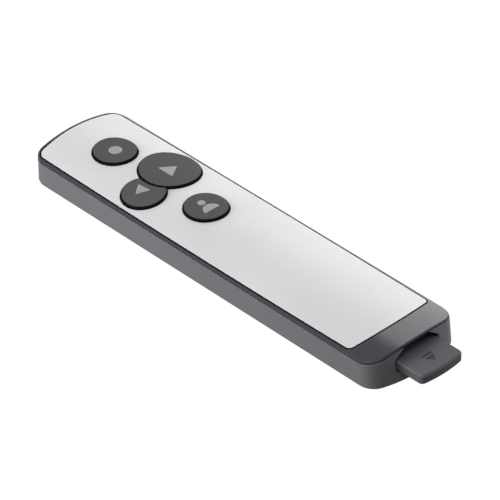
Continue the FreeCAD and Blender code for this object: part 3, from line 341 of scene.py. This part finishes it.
def board_traces():
    """Solder mask over copper: straight traces in two directions, gathered in patches, with round vias."""
    tree, given, result, place = new_group(
        "board traces",
        [("Colour", GREY), ("Copper", (0.05, 0.25, 0.1, 1.0)), ("Roughness", 0.3), ("Pitch", 0.0012),
         ("Depth", 0.00002), ("Edge", 0.00005)],
        ["Colour", "Roughness", "Normal"])
    across = maths(tree, "DIVIDE", 1.0, given["Pitch"])
    bands = []
    for direction in ("X", "Y"):
        sockets = {"Vector": place, "Scale": maths(tree, "MULTIPLY", across, 0.16)}
        wave = add(tree, "ShaderNodeTexWave", sockets, bands_direction=direction).outputs["Fac"]
        bands.append(maths(tree, "GREATER_THAN", wave, 0.8))
    patch = maths(tree, "GREATER_THAN", noise(tree, place, 130.0, 0.0), 0.5)
    mask = maths(tree, "ADD", maths(tree, "MULTIPLY", bands[0], patch),
                 maths(tree, "MULTIPLY", bands[1], maths(tree, "SUBTRACT", 1.0, patch)))
    cells = add(tree, "ShaderNodeTexVoronoi", {"Vector": place, "Scale": maths(tree, "MULTIPLY", across, 0.35)})
    via = maths(tree, "LESS_THAN", cells.outputs["Distance"], 0.12)
    raised = maths(tree, "MAXIMUM", mask, via)
    tree.links.new(blended(tree, raised, given["Colour"], given["Copper"]), result["Colour"])
    tree.links.new(around(tree, noise(tree, place, 400.0), given["Roughness"], 0.05), result["Roughness"])
    tree.links.new(relief(tree, raised, given["Depth"], given["Edge"]), result["Normal"])
    return tree


GROUP_MAKERS = {
    "moulded grain": moulded_grain,
    "painted facing shade": painted_facing_shade,
    "polished skin": polished_skin,
    "blasted metal": blasted_metal,
    "turned metal": turned_metal,
    "board traces": board_traces,
}


def finish(name, group, values, **shader):
    """A material whose group feeds base colour, roughness and normal of one Principled shader.

    values are the group's inputs, and shader the plain values of the shader's own sockets.
    """
    tree_used = bpy.data.node_groups.get(group) or GROUP_MAKERS[group]()
    made = bpy.data.materials.new(name)
    made.use_nodes = True
    tree = made.node_tree
    body = tree.nodes["Principled BSDF"]
    pattern = add(tree, "ShaderNodeGroup", node_tree=tree_used)
    for label, value in values.items():
        pattern.inputs[label].default_value = value
    tree.links.new(pattern.outputs["Colour"], body.inputs["Base Color"])
    tree.links.new(pattern.outputs["Roughness"], body.inputs["Roughness"])
    tree.links.new(pattern.outputs["Normal"], body.inputs["Normal"])
    for label, value in shader.items():
        body.inputs[label.replace("_", " ")].default_value = value
    return made


def shade_by_facing(material, upper, side_paint):
    """Puts the painted light and shade by facing before a finish: its colour feeds the finish's own."""
    tree = material.node_tree
    pattern = next(item for item in tree.nodes if item.type == "GROUP")
    coat = add(tree, "ShaderNodeGroup", node_tree=bpy.data.node_groups.get("painted facing shade") or painted_facing_shade())
    coat.inputs["Colour"].default_value = opaque(upper)
    coat.inputs["Painted"].default_value = opaque(side_paint)
    tree.links.new(coat.outputs["Colour"], pattern.inputs["Colour"])


def opaque(rgb):
    """A colour with full opacity."""
    return (*rgb, 1.0)


def dress(material, *nodes):
    """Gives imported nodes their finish."""
    for name in nodes:
        owner = frame["nodes"][name]
        if not owner.material_slots:
            owner.data.materials.append(material)
        for place in owner.material_slots:
            place.material = material


# Surfaces

def crown(x, radius=BUTTON_RADIUS):
    """Height of a crown at x: a circle about an axis along Y. Buttons and plate share the axis."""
    return CROWN_AXIS + np.sqrt(radius ** 2 - x ** 2)


def cap_top(x):
    """Height of the receiver's flat top."""
    return np.full(len(x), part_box("receiver_cap")[1].z)


def ringed_mesh(name, points, rings, steps):
    """A mesh of one middle point and rings of points round it: triangles to the first ring, then quads."""
    here = np.arange(steps)
    ahead = (here + 1) % steps
    fan = np.column_stack([np.zeros(steps, int), 1 + here, 1 + ahead])
    ring = np.arange(rings - 1)[:, None] * steps + 1
    quads = np.stack([ring + here, ring + steps + here, ring + steps + ahead, ring + ahead], -1).reshape(-1, 4)
    mesh = bpy.data.meshes.new(name)
    mesh.from_pydata(points.tolist(), [], fan.tolist() + quads.tolist())
    mesh.update()
    return mesh


def patch_mesh(name, outline, centre, height, rings=5):
    """A printed patch, filled from its centre to its outline.

    Point (ring r, step s) is centre + r / rings * (outline[s] - centre), and height gives its Z from its X.
    """
    part = np.linspace(0.0, 1.0, rings + 1)[1:, None, None]
    flat = centre + part * (outline[None] - centre)
    flat = np.concatenate([np.asarray(centre)[None], flat.reshape(-1, 2)])
    return ringed_mesh(name, np.column_stack([flat, height(flat[:, 0])]), rings, len(outline))


def rounded_corners(corners, radius, steps=6):
    """A closed outline, anticlockwise, whose corners are replaced with arcs.

    At each corner the arc's centre lies on the bisector, radius / sin(half angle) from it, and its points turn
    from one side's normal to the next one's.
    """
    corners = np.asarray(corners, float)
    into = corners - np.roll(corners, 1, axis=0)
    away = np.roll(corners, -1, axis=0) - corners
    into /= np.linalg.norm(into, axis=1, keepdims=True)
    away /= np.linalg.norm(away, axis=1, keepdims=True)
    bisector = away - into
    bisector /= np.linalg.norm(bisector, axis=1, keepdims=True)
    half = 0.5 * np.arccos(-(into * away).sum(1))
    centres = corners + bisector * (radius / np.sin(half))[:, None]
    start = np.arctan2(-into[:, 0], into[:, 1])
    turn = np.arctan2(into[:, 0] * away[:, 1] - into[:, 1] * away[:, 0], (into * away).sum(1))
    angle = start[:, None] + turn[:, None] * np.linspace(0, 1, steps)
    points = centres[:, None] + radius * np.stack([np.cos(angle), np.sin(angle)], -1)
    return points.reshape(-1, 2)


def disc(middle, radius, steps=48):
    """A circle's outline."""
    angle = np.arange(steps) / steps * 2 * np.pi
    return np.asarray(middle) + radius * np.column_stack([np.cos(angle), np.sin(angle)])


def even(outline, count=120):
    """The same closed outline with points at equal steps of its length, so that it can follow a curved surface."""
    closed = np.concatenate([outline, outline[:1]])
    along = np.concatenate([[0.0], np.cumsum(np.linalg.norm(np.diff(closed, axis=0), axis=1))])
    steps = np.linspace(0.0, along[-1], count, endpoint=False)
    return np.column_stack([np.interp(steps, along, closed[:, 0]), np.interp(steps, along, closed[:, 1])])


def half_round(middle, half_width, height, steps=32):
    """An outline with a straight base and half an ellipse above it: cos and sin over half a turn."""
    angle = np.linspace(0, np.pi, steps)
    return np.asarray(middle) + np.column_stack([half_width * np.cos(angle), height * np.sin(angle)])


def rounded_end(half, apex, radius, corner, steps=12):
    """Outline over one end of a bar, anticlockwise: a wide arc that meets both sides in a round corner.

    The corner's centre is corner inside the side, and radius - corner from the arc's centre.
    """
    centre = apex - radius
    level = centre + math.sqrt((radius - corner) ** 2 - (half - corner) ** 2)
    meet = math.atan2(level - centre, half - corner)
    tight = np.linspace(0.0, meet, steps)
    turn = np.column_stack([half - corner + corner * np.cos(tight), level + corner * np.sin(tight)])
    wide = np.linspace(meet, np.pi - meet, 6 * steps)[1:-1]
    arc = np.column_stack([radius * np.cos(wide), centre + radius * np.sin(wide)])
    return np.concatenate([turn, arc, turn[::-1] * (-1.0, 1.0)])


def plate_outline(spread=0.0):
    """The plate's outline, moved outwards by a distance.

    Its sides swell a little: x is scaled by 1 - swell * (y from the middle / half the length) squared.
    """
    half = PLATE_HALF + spread
    far = rounded_end(half, PLATE_FAR + spread, PLATE_FAR_RADIUS + spread, PLATE_FAR_CORNER + spread)
    near = rounded_end(half, spread - PLATE_NEAR, PLATE_NEAR_RADIUS + spread, PLATE_NEAR_CORNER + spread)
    outline = even(np.concatenate([far, -near]), 600)
    middle, reach = (PLATE_FAR + PLATE_NEAR) / 2, (PLATE_FAR - PLATE_NEAR) / 2
    outline[:, 0] *= 1.0 - PLATE_SWELL * ((outline[:, 1] - middle) / reach) ** 2
    return outline


def button_holes():
    """The plate's four round apertures, placed from the laser button's middle."""
    low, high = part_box("laser_button")
    middle = (low.y + high.y) / 2
    return [disc((x, middle + y), radius, 96) for x, y, radius in APERTURES]


def inside(points, outline):
    """Which points lie inside an outline: those from which a ray along X crosses it an odd number of times."""
    x, y = points[:, :1], points[:, 1:]
    ahead = np.roll(outline, -1, axis=0)
    rise = ahead[:, 1] - outline[:, 1]
    crosses = (outline[:, 1] > y) != (ahead[:, 1] > y)
    part = (y - outline[:, 1]) / np.where(rise == 0.0, 1.0, rise)
    return (crosses & (x < outline[:, 0] + part * (ahead[:, 0] - outline[:, 0]))).sum(1) % 2 == 1


def sheet_mesh(name, outline, holes, height, thickness, spacing=1.2 * MM):
    """A thin closed sheet with holes.

    Its plan is a Delaunay net of the outlines and of a grid between them. A point's Z is height(x), and the
    underside is the same net, lower by the thickness and joined to it along the outlines.
    """
    edges = [outline, *holes]
    rim = np.concatenate(edges)
    low, high = outline.min(0), outline.max(0)
    grid = np.stack(np.meshgrid(*(np.arange(a, b, spacing) for a, b in zip(low, high))), -1).reshape(-1, 2)
    grid = grid[np.linalg.norm(grid[:, None] - rim, axis=-1).min(1) > 0.5 * spacing]
    loops = []
    for edge in edges:
        step = np.arange(len(edge))
        loops += (len(loops) + np.column_stack([step, (step + 1) % len(edge)])).tolist()
    places = [Vector(place) for place in np.concatenate([rim, grid]) / MM]
    net = delaunay_2d_cdt(places, loops, [], 0, 1e-5, False)
    plan = np.array([place[:] for place in net[0]]) * MM
    faces = np.array(net[2])
    middle = plan[faces].mean(1)
    kept = inside(middle, outline)
    for hole in holes:
        kept &= ~inside(middle, hole)
    used, faces = np.unique(faces[kept], return_inverse=True)
    plan, faces = plan[used], faces.reshape(-1, 3)
    first = plan[faces[:, 1]] - plan[faces[:, 0]]
    second = plan[faces[:, 2]] - plan[faces[:, 0]]
    wrong = first[:, 0] * second[:, 1] < first[:, 1] * second[:, 0]
    faces[wrong] = faces[wrong][:, ::-1]
    count = len(plan)
    ways = np.concatenate([faces[:, [0, 1]], faces[:, [1, 2]], faces[:, [2, 0]]])
    start, end = ways[~np.isin(ways @ (count, 1), ways @ (1, count))].T
    sides = np.column_stack([end, start, start + count, end + count])
    top = np.column_stack([plan, height(plan[:, 0])])
    mesh = bpy.data.meshes.new(name)
    mesh.from_pydata(np.concatenate([top, top - (0.0, 0.0, thickness)]).tolist(), [],
                     faces.tolist() + (faces[:, ::-1] + count).tolist() + sides.tolist())
    mesh.polygons.foreach_set("use_smooth", [True] * len(mesh.polygons))
    mesh.set_sharp_from_angle(angle=math.radians(40))
    mesh.update()
    return mesh


def laid(name, outline, holes, lift, thickness, material):
    """A thin sheet that lies on the face of the casing, its top at that height over the plate's crown."""
    mesh = sheet_mesh(name, outline, holes, lambda x: crown(x, PLATE_RADIUS) + lift, thickness)
    made = bpy.data.objects.new(name, mesh)
    bpy.context.scene.collection.objects.link(made)
    made.data.materials.append(material)
    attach(made, "casing")
    return made


def printed(name, outline, body, material, surface=crown):
    """One printed patch that rides on a body, a little above the surface it is printed on."""
    sizes = settings().sizes
    outline = even(np.asarray(outline))
    centre = outline.mean(0)
    made = bpy.data.objects.new(name, patch_mesh(name, outline, centre, lambda x: surface(x) + sizes.ink_lift))
    bpy.context.scene.collection.objects.link(made)
    made.data.materials.append(material)
    made.data.polygons.foreach_set("use_smooth", [True] * len(made.data.polygons))
    layer = made.modifiers.new("ink layer", "SOLIDIFY")
    layer.thickness = sizes.ink_depth
    layer.offset = -1.0
    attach(made, body)
    return made


# Operators

class CLICKER_OT_tray(bpy.types.Operator):
    """Finish the tray, the battery cover and the power knob in satin grey"""

    bl_idname = "clicker.tray"
    bl_label = "Tray and cover"

    def execute(self, context):
        """Dress the satin moulded parts."""
        given = settings()
        values = {"Colour": opaque(given.colours.tray), "Roughness": 0.42, "Grain": given.sizes.grain,
                  "Depth": given.sizes.grain_depth, "Edge": given.sizes.edge, "Drift": 0.03}
        dress(finish("tray_satin", "moulded grain", values), "lower_case")
        values["Colour"] = opaque([0.9 * part for part in given.colours.tray])
        dress(finish("cover_satin", "moulded grain", values), "battery_cover")
        values.update({"Colour": (0.03, 0.03, 0.033, 1), "Roughness": 0.5})
        dress(finish("knob_satin", "moulded grain", values), "power_knob")
        values.update({"Colour": (0.02, 0.02, 0.022, 1), "Roughness": 0.55, "Grain": 0.3 * MM})
        dress(finish("bay_plain", "moulded grain", values), "receiver_bay")
        return {"FINISHED"}


class CLICKER_OT_face(bpy.types.Operator):
    """Finish the glossy frame, the metal plate, the film under it, the plate's skin and the painted gap shadow
    round it
    """

    bl_idname = "clicker.face"
    bl_label = "Frame and plate"

    def execute(self, context):
        """Dress the frame, the plate and the film, and lay the plate's skin and the black sheet of painted gap
        shadow round it.
        """
        given = settings()
        gloss = {"Colour": opaque(given.colours.frame), "Roughness": 0.16, "Wave": 3 * MM,
                 "Depth": 0.002 * MM, "Edge": given.sizes.edge}
        dress(finish("frame_gloss", "polished skin", gloss, Coat_Weight=1.0, Coat_Roughness=0.13), "top_frame")
        metal = {"Colour": opaque(given.colours.plate), "Roughness": 0.50, "Pit": given.sizes.blast,
                 "Depth": 0.003 * MM, "Edge": 0.01 * MM, "Cloud": 0.04}
        anodised = finish("plate_anodised", "blasted metal", metal, Metallic=0.30)
        dress(anodised, "face_plate")
        film_and_gap_shadow = {"Colour": (0.012, 0.012, 0.012, 1), "Roughness": 0.8, "Grain": 0.1 * MM, "Depth": 0.01 * MM}
        dress(finish("film_black", "moulded grain", film_and_gap_shadow), "plate_film")
        laid("plate_skin", plate_outline(), button_holes(), SKIN_TOP, SKIN_DEPTH, anodised)
        # A black sheet without reflection round the plate's outline paints the shadow of the gap between plate and
        # frame
        film_and_gap_shadow["Colour"] = (0.004, 0.004, 0.004, 1)
        black = finish("gap_shadow_black", "moulded grain", film_and_gap_shadow, Specular_IOR_Level=0.0)
        seam = plate_outline(given.sizes.seam)
        laid("plate_gap_shadow", seam, [plate_outline(-GAP_SHADOW_LAP)], GAP_SHADOW_TOP, GAP_SHADOW_DEPTH, black)
        return {"FINISHED"}


class CLICKER_OT_buttons(bpy.types.Operator):
    """Finish the four buttons and the plungers under them"""

    bl_idname = "clicker.buttons"
    bl_label = "Buttons"

    def execute(self, context):
        """Dress buttons and plungers."""
        given = settings()
        soft = {"Colour": opaque(given.colours.buttons), "Roughness": 0.68, "Grain": 0.12 * MM,
                "Depth": 0.004 * MM, "Edge": given.sizes.button_edge, "Drift": 0.04}
        coat = finish("button_soft_touch", "moulded grain", soft, Specular_IOR_Level=0.06)
        # The buttons' sides and chamfers get painted shade: they turn near black wherever the face leans away from
        # up
        shade_by_facing(coat, given.colours.buttons, given.colours.button_side_shade)
        dress(coat, "laser_button", "next_button", "back_button", "presenter_button")
        plain = {"Colour": (0.55, 0.54, 0.5, 1), "Roughness": 0.45}
        dress(finish("plunger_plain", "moulded grain", plain),
              "laser_plunger", "next_plunger", "back_plunger", "presenter_plunger")
        return {"FINISHED"}


class CLICKER_OT_symbols(bpy.types.Operator):
    """Print the dot, the two arrowheads and the presenter on the buttons"""

    bl_idname = "clicker.symbols"
    bl_label = "Printed symbols"

    def execute(self, context):
        """Make the printed patches."""
        given = settings()
        values = {"Colour": opaque(given.colours.ink), "Roughness": 0.55, "Grain": 0.1 * MM,
                  "Depth": 0.003 * MM, "Edge": 0.02 * MM, "Drift": 0.03}
        ink = finish("symbol_ink", "moulded grain", values)
        corner = 0.22 * MM
        forward = rounded_corners(np.array([(2.68, 29.4), (7.15, 32.3), (2.70, 35.2)]) * MM, corner)
        rearward = rounded_corners(np.array([(-6.2, 33.4), (-9.6, 30.95), (-5.75, 28.9)]) * MM, corner)
        printed("laser_dot", disc((-0.1 * MM, 49.35 * MM), given.sizes.dot / 2), "laser_key", ink)
        printed("next_arrowhead", forward, "next_key", ink)
        printed("back_arrowhead", rearward, "back_key", ink)
        printed("presenter_head", disc((-0.1 * MM, 14.9 * MM), 1.12 * MM), "presenter_key", ink)
        shoulders = half_round((0.03 * MM, 10.66 * MM), 2.6 * MM, 2.72 * MM)
        printed("presenter_shoulders", shoulders, "presenter_key", ink)
        return {"FINISHED"}


class CLICKER_OT_receiver(bpy.types.Operator):
    """Finish the receiver's cap, its plug tongue and contacts"""

    bl_idname = "clicker.receiver"
    bl_label = "Receiver"

    def execute(self, context):
        """Dress the receiver."""
        given = settings()
        cap = {"Colour": opaque(given.colours.receiver), "Roughness": 0.38, "Grain": given.sizes.grain,
               "Depth": 0.004 * MM, "Edge": 0.25 * MM, "Drift": 0.03}
        satin = finish("receiver_satin", "moulded grain", cap, Specular_IOR_Level=0.35)
        # The receiver's bevel and sides get painted light: a lighter tone than its top, by facing
        shade_by_facing(satin, given.colours.receiver, given.colours.receiver_side_light)
        dress(satin, "receiver_cap")
        dark = finish("receiver_mark", "moulded grain", {"Colour": opaque(given.colours.mark), "Roughness": 0.5})
        middle = np.array((0.0, -70.3 * MM))
        arrow = np.array([(1.7, 0.3), (-1.7, 0.3), (0.0, -1.9)]) * MM + middle
        bar = np.array([(-1.7, 0.9), (1.7, 0.9), (1.7, 1.6), (-1.7, 1.6)]) * MM + middle
        printed("pull_arrow", rounded_corners(arrow, 0.15 * MM), "receiver", dark, cap_top)
        printed("pull_bar", rounded_corners(bar, 0.12 * MM), "receiver", dark, cap_top)
        mask = {"Colour": (0.012, 0.012, 0.014, 1), "Copper": (0.03, 0.03, 0.034, 1), "Roughness": 0.28}
        dress(finish("tongue_mask", "board traces", mask), "receiver_board")
        gold = {"Colour": (0.85, 0.6, 0.25, 1), "Roughness": 0.22, "Width": 0.1 * MM}
        dress(finish("contact_gold", "turned metal", gold, Metallic=1.0), "receiver_contacts")
        return {"FINISHED"}


class CLICKER_OT_electronics(bpy.types.Operator):
    """Finish the circuit board and what is soldered to it"""

    bl_idname = "clicker.electronics"
    bl_label = "Board and parts"

    def execute(self, context):
        """Dress the board, switches, chip, crystal and antenna."""
        given = settings()
        mask = {"Colour": opaque(given.colours.board), "Copper": (0.05, 0.24, 0.12, 1), "Roughness": 0.3}
        dress(finish("board_mask", "board traces", mask), "main_board")
        dark = {"Colour": (0.014, 0.014, 0.015, 1), "Roughness": 0.5, "Grain": 0.08 * MM}
        dress(finish("switch_black", "moulded grain", dark), "button_switches", "power_switch")
        dress(finish("chip_epoxy", "moulded grain", {**dark, "Roughness": 0.62}), "radio_chip")
        white = {"Colour": (0.7, 0.7, 0.64, 1), "Roughness": 0.5, "Grain": 0.1 * MM}
        dress(finish("antenna_fired", "moulded grain", white), "antenna")
        can = {"Colour": opaque(given.colours.steel), "Roughness": 0.3, "Pit": 0.08 * MM}
        dress(finish("crystal_can", "blasted metal", can, Metallic=1.0), "crystal")
        return {"FINISHED"}


class CLICKER_OT_power(bpy.types.Operator):
    """Finish the coin cell, its springs, the laser and the screws"""

    bl_idname = "clicker.power"
    bl_label = "Cell, laser and screws"

    def execute(self, context):
        """Dress the cell, springs, laser and screws."""
        given = settings()
        steel = opaque(given.colours.steel)
        dress(finish("cell_can", "blasted metal", {"Colour": steel, "Roughness": 0.27}, Metallic=1.0), "coin_cell")
        strip = {"Colour": steel, "Roughness": 0.3, "Width": 0.08 * MM}
        dress(finish("spring_strip", "turned metal", strip, Metallic=1.0), "battery_contacts")
        brass = {"Colour": opaque(given.colours.brass), "Roughness": 0.28, "Width": 0.12 * MM}
        dress(finish("laser_brass", "turned metal", brass, Metallic=1.0), "laser_module")
        black = {"Colour": (0.09, 0.09, 0.095, 1), "Roughness": 0.35, "Width": 0.1 * MM, "Edge": 0.06 * MM}
        dress(finish("screw_black", "turned metal", black, Metallic=1.0), "case_screws")
        clear = {"Colour": (0.9, 0.93, 0.95, 1), "Roughness": 0.04, "Wave": 1 * MM}
        dress(finish("lens_clear", "polished skin", clear, Transmission_Weight=1.0), "laser_lens")
        return {"FINISHED"}


def disc_floor(radius, rings=24, steps=96):
    """A round floor just under the clicker's rest plane, with more rings near its middle.

    Point (r, s) is at radius * (r / rings) squared from the middle, s / steps of a turn round.
    """
    reach = radius * (np.arange(1, rings + 1) / rings) ** 2
    outline = disc((0.0, 0.0), 1.0, steps)
    points = (reach[:, None, None] * outline).reshape(-1, 2)
    points = np.column_stack([np.concatenate([[[0.0, 0.0]], points]), np.full(rings * steps + 1, -FLOOR_DROP)])
    return ringed_mesh("floor", points, rings, steps)


def shadowless(material, shadow):
    """Shows the floor evenly lit, as over a light table, with a little of its contact shadow.

    It is open to a view from below and to the light that reaches the clicker's rest face.
    """
    tree = material.node_tree
    body = tree.nodes["Principled BSDF"]
    end = tree.nodes["Material Output"]
    glow = {"Color": opaque(settings().colours.floor), "Strength": FLOOR_GLOW}
    lit = add(tree, "ShaderNodeEmission", glow)
    seen = tree.nodes.new("ShaderNodeLightPath").outputs["Is Camera Ray"]
    part = maths(tree, "MULTIPLY", seen, 1.0 - shadow)
    mixed = add(tree, "ShaderNodeMixShader", {0: part, 1: body.outputs[0], 2: lit.outputs[0]})
    below = tree.nodes.new("ShaderNodeNewGeometry").outputs["Backfacing"]
    reach = tree.nodes.new("ShaderNodeLightPath").outputs["Ray Length"]
    unseen = maths(tree, "MAXIMUM", below, maths(tree, "LESS_THAN", reach, FLOOR_CONTACT))
    clear = tree.nodes.new("ShaderNodeBsdfTransparent")
    whole = add(tree, "ShaderNodeMixShader", {0: unseen, 1: mixed.outputs[0], 2: clear.outputs[0]})
    tree.links.new(whole.outputs[0], end.inputs["Surface"])


def aim(direction):
    """The turn that points an object's -Z along a direction."""
    return direction.to_track_quat("-Z", "Y").to_euler()


def soft_light(name, place, target, width, height, power, mirrored):
    """One softbox: an area light aimed at a point. One that isn't mirrored leaves no highlight on gloss."""
    lamp = bpy.data.lights.new(name, "AREA")
    lamp.shape = "RECTANGLE"
    lamp.size = width
    lamp.size_y = height
    lamp.energy = power
    made = bpy.data.objects.new(name, lamp)
    bpy.context.scene.collection.objects.link(made)
    made.visible_glossy = mirrored
    made.location = place
    made.rotation_euler = aim(Vector(target) - Vector(place))
    return made


class CLICKER_OT_stage(bpy.types.Operator):
    """Set up the pale floor, the soft lights and the camera"""

    bl_idname = "clicker.stage"
    bl_label = "Stage"

    def execute(self, context):
        """Make floor, light and camera."""
        given = settings()
        stage = given.stage
        floor = bpy.data.objects.new("floor", disc_floor(stage.floor_radius))
        context.scene.collection.objects.link(floor)
        pale = finish("floor_pale", "moulded grain",
                      {"Colour": opaque([stage.bounce] * 3), "Roughness": 0.7, "Grain": 2 * MM, "Depth": 0.0,
                       "Edge": 0.0, "Drift": 0.0})
        shadowless(pale, stage.shadow)
        floor.data.materials.append(pale)
        world = bpy.data.worlds.new("studio")
        context.scene.world = world
        world.use_nodes = True
        sky = world.node_tree.nodes["Background"].inputs
        sky["Color"].default_value = (1, 1, 1, 1)
        sky["Strength"].default_value = stage.fill
        for row in SOFTBOXES:
            soft_light(*row)
        lens = bpy.data.cameras.new("camera")
        lens.lens = stage.lens
        lens.sensor_width = 36.0
        lens.clip_start = 0.01
        camera = bpy.data.objects.new("camera", lens)
        context.scene.collection.objects.link(camera)
        flat = math.cos(stage.elevation)
        back = Vector((math.sin(stage.azimuth) * flat, -math.cos(stage.azimuth) * flat, math.sin(stage.elevation)))
        camera.location = Vector(CAMERA_TARGET) + back * stage.distance
        camera.rotation_euler = aim(-back)
        context.scene.camera = camera
        context.scene.view_settings.view_transform = "Standard"
        return {"FINISHED"}


STEPS = (CLICKER_OT_tray, CLICKER_OT_face, CLICKER_OT_buttons, CLICKER_OT_symbols, CLICKER_OT_receiver,
         CLICKER_OT_electronics, CLICKER_OT_power, CLICKER_OT_stage)


class CLICKER_PT_sidebar(bpy.types.Panel):
    """The steps and settings of the clicker's looks"""

    bl_idname = "CLICKER_PT_sidebar"
    bl_label = "Clicker"
    bl_space_type = "VIEW_3D"
    bl_region_type = "UI"
    bl_category = "Clicker"

    def draw(self, context):
        """List the settings, then the steps."""
        given = context.scene.clicker
        for group in (given.colours, given.sizes, given.stage):
            box = self.layout.box()
            for name in group.__annotations__:
                box.prop(group, name)
        for step in STEPS:
            self.layout.operator(step.bl_idname)


CLASSES = (CLICKER_PG_colours, CLICKER_PG_sizes, CLICKER_PG_stage, CLICKER_PG_settings, *STEPS,
           CLICKER_PT_sidebar)


def register():
    """Register the classes and hang the settings on the scene."""
    for made in CLASSES:
        bpy.utils.register_class(made)
    bpy.types.Scene.clicker = bpy.props.PointerProperty(type=CLICKER_PG_settings)


def unregister():
    """Undo register."""
    del bpy.types.Scene.clicker
    for made in reversed(CLASSES):
        bpy.utils.unregister_class(made)


def plain(box):
    """A box as plain lists of numbers."""
    return [[float(part) for part in corner] for corner in box]


def main():
    """Run every step in order."""
    register()
    bpy.ops.clicker.tray()
    bpy.ops.clicker.face()
    bpy.ops.clicker.buttons()
    bpy.ops.clicker.symbols()
    bpy.ops.clicker.receiver()
    bpy.ops.clicker.electronics()
    bpy.ops.clicker.power()
    bpy.ops.clicker.stage()


if __name__ == "__main__":
    main()
